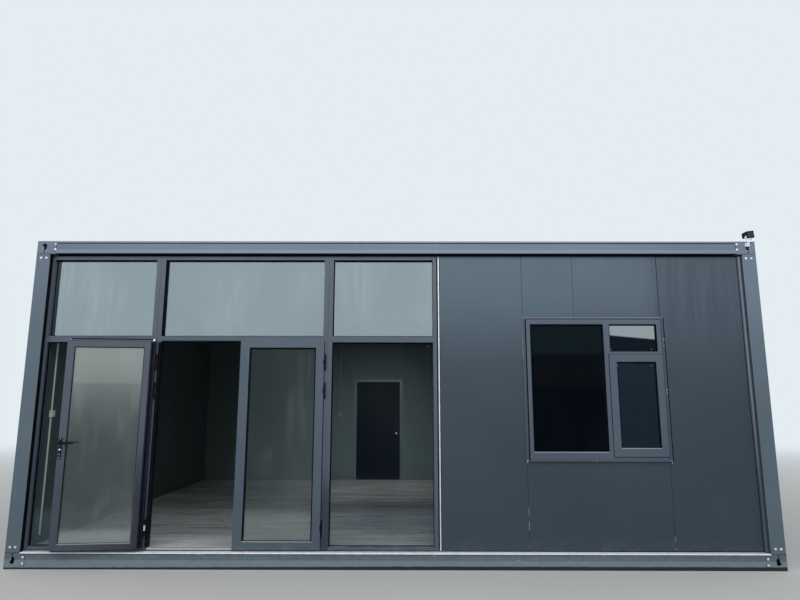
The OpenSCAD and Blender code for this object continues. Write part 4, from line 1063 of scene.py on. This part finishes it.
# Surface conduits down the back wall, one of them to a switch box, and down the left wall
X_SWITCH, SWITCH_Z = -1170, 1490
X_CONDUIT, CONDUIT_Z = 590, 2100
Y_CONDUIT = -2665
conduit = piece("room_conduits", DULL_PLASTIC)
boxes = piece("room_switch_boxes", DULL_PLASTIC)
left_conduit = piece("left_wall_conduit", PLASTIC)
for x, z in ((X_SWITCH, SWITCH_Z), (X_CONDUIT, CONDUIT_Z)):
    block(conduit, (x - 6, BACK_INNER - 10, z), (x + 6, BACK_INNER, CEILING_Z), 2)
block(boxes, (X_SWITCH - 36, BACK_INNER - 30, SWITCH_Z - 68),
      (X_SWITCH + 36, BACK_INNER, SWITCH_Z + 4), 4)
block(boxes, (X_SWITCH - 12, BACK_INNER - 34, SWITCH_Z - 52),
      (X_SWITCH + 12, BACK_INNER - 27, SWITCH_Z - 14), 2)
for half, depths, heights, bevel in (
        (9, (0, 12), (SKIRT_Z[1], CEILING_Z), 2),
        (36, (0, 30), (1520, 1592), 4),
        (12, (26, 34), (1536, 1576), 2)):
    block(left_conduit, (depths[0] - END_INNER, Y_CONDUIT - half, heights[0]),
          (depths[1] - END_INNER, Y_CONDUIT + half, heights[1]), bevel)

# Yard lamp: lens plate, small lamps behind it, cooling fins, pivot knobs and bolts. It is
# drawn square on the roof corner, then tilted and turned about its pivot.
PIVOT_Z = 70
FINS, FIN_PITCH = 8, 11.8
lamp_corner = Vector((HALF_LENGTH - 60, -HALF_DEPTH, TOP_Z))
LAMP = (Matrix.Translation(lamp_corner + Vector((0, 0, PIVOT_Z)))
        @ Matrix.Rotation(math.radians(14), 4, "Z") @ Matrix.Rotation(math.radians(-9), 4, "Y")
        @ Matrix.Translation((0, 0, -PIVOT_Z)))
lens = piece("lamp_lens_plate", LENS)
glow = piece("lamp_lights", LENS, smooth=True)
fins = piece("lamp_fins", BLACK, slot="lamp_body")
knobs = piece("lamp_pivot_knobs", BLACK, slot="lamp_body", smooth=True)
lamp_bolts = piece("lamp_bracket_bolts", ZINC)
block(lens, (-46, -34.5, 44), (40, -31.8, 98), 1, LAMP)
for x in (-28, -3, 22):
    turned(glow, LAMP @ facing((x, -34.3, PIVOT_Z), (0, -1, 0)),
           [(10.5, 0), (10, 1.6), (7, 3), (3, 2), (0, 1.4)], 18)
flat_frame(fins, (-50, 44, 40, 102), 0, 4, -35.2, -31.5, LAMP)
for k in range(FINS):
    x = -46 + k * FIN_PITCH
    block(fins, (x, 26, 50), (x + 2.2, 44.5, 98), 0.5, LAMP)
for x, way in ((-56, -1), (50, 1)):
    turned(knobs, LAMP @ facing((x, -11, PIVOT_Z), (way, 0, 0)),
           [(8.5, 0), (9, 1.5), (8.6, 6.5), (6, 8.2), (0, 8.4)], 12)
for x in (-36, -8):
    bolt(lamp_bolts, lamp_corner + Vector((x, -4, -40)), (0, -1, 0), 0.62, 0.3)

# Every drawn mesh becomes a piece that rides on its body
for name, mesh, material, body, slot, smooth in pieces:
    mesh.transform(Matrix.Scale(1 / PER_METRE, 4))
    bmesh.ops.recalc_face_normals(mesh, faces=mesh.faces)
    data = bpy.data.meshes.new(name)
    mesh.to_mesh(data)
    mesh.free()
    if smooth:
        data.shade_smooth()
        data.set_sharp_from_angle(angle=math.radians(38))
    data.materials.append(material)
    made = bpy.data.objects.new(name, data)
    bpy.context.scene.collection.objects.link(made)
    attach(made, body)

# Studio floor
floor_mesh = bmesh.new()
bmesh.ops.create_grid(floor_mesh, x_segments=4, y_segments=4, size=60.0)
floor_data = bpy.data.meshes.new("studio_floor")
floor_mesh.to_mesh(floor_data)
floor_mesh.free()
floor_data.materials.append(STAGE)
studio_floor = bpy.data.objects.new("studio_floor", floor_data)
bpy.context.scene.collection.objects.link(studio_floor)

# Camera, fitted to the photograph: focal length in pixels, spot in metres, angles in degrees
PHOTO_WIDTH, FOCAL_LENGTH = 800, 601
SENSOR_WIDTH = 36.0
CAMERA_SPOT = (0.0738, -9.5037, 1.6702)
LOOK_UP, ROLL, PAN = 9.81, -0.096, 0.186
scene = bpy.context.scene
scene.view_settings.view_transform = "Standard"
camera_data = bpy.data.cameras.new("camera")
camera_data.sensor_width = SENSOR_WIDTH
camera_data.lens = FOCAL_LENGTH / PHOTO_WIDTH * SENSOR_WIDTH
camera_data.clip_end = 300.0
camera = bpy.data.objects.new("camera", camera_data)
camera.location = CAMERA_SPOT
camera.rotation_euler = (math.radians(90 + LOOK_UP), math.radians(ROLL), math.radians(PAN))
scene.collection.objects.link(camera)
scene.camera = camera

# Soft sky light, and the pale background that the camera sees
world = bpy.data.worlds.new("studio")
scene.world = world
world.use_nodes = True
sky = Graph(world.node_tree)
sky.tree.nodes.clear()
soft = sky.add("ShaderNodeBackground", {"Color": (0.86, 0.91, 0.97, 1), "Strength": 0.52})
pale = sky.add("ShaderNodeBackground", {"Color": PALE, "Strength": PALE_STRENGTH})
chosen = sky.add("ShaderNodeMixShader", {0: sky.background_rays(), 1: soft.outputs[0],
                                         2: pale.outputs[0]})
sky.add("ShaderNodeOutputWorld", {"Surface": chosen.outputs[0]})


def area_light(name, spot, target, size, power, colour=(1, 1, 1), beam=180):
    data = bpy.data.lights.new(name, "AREA")
    data.spread = math.radians(beam)
    data.shape = "RECTANGLE"
    data.size, data.size_y = size
    data.energy = power
    data.color = colour
    lamp = bpy.data.objects.new(name, data)
    lamp.location = spot
    lamp.rotation_euler = (Vector(target) - Vector(spot)).to_track_quat("-Z", "Y").to_euler()
    lamp.visible_camera = False
    scene.collection.objects.link(lamp)


area_light("key_front", (-1, -15, 7.4), (0, -3, 2.6), (26, 11), 930, (1.0, 0.99, 0.97))
area_light("strip_over_front", (0, -7.0, 5.5), (0, -2.9, 3.0), (10, 1.4), 150, (0.95, 0.98, 1.0))
area_light("room_glow", (-0.5, -1.9, 2.85), (-0.4, 2.86, 0.4), (1.8, 0.3), 10, beam=58)
area_light("fill_back", (0, 14, 7), (0, 3, 1.6), (18, 7), 420)
area_light("fill_right", (14, 0, 6), (4, 0, 1.6), (9, 6), 260)
area_light("fill_left", (-14, 0, 6), (-4, 0, 1.6), (9, 6), 260)
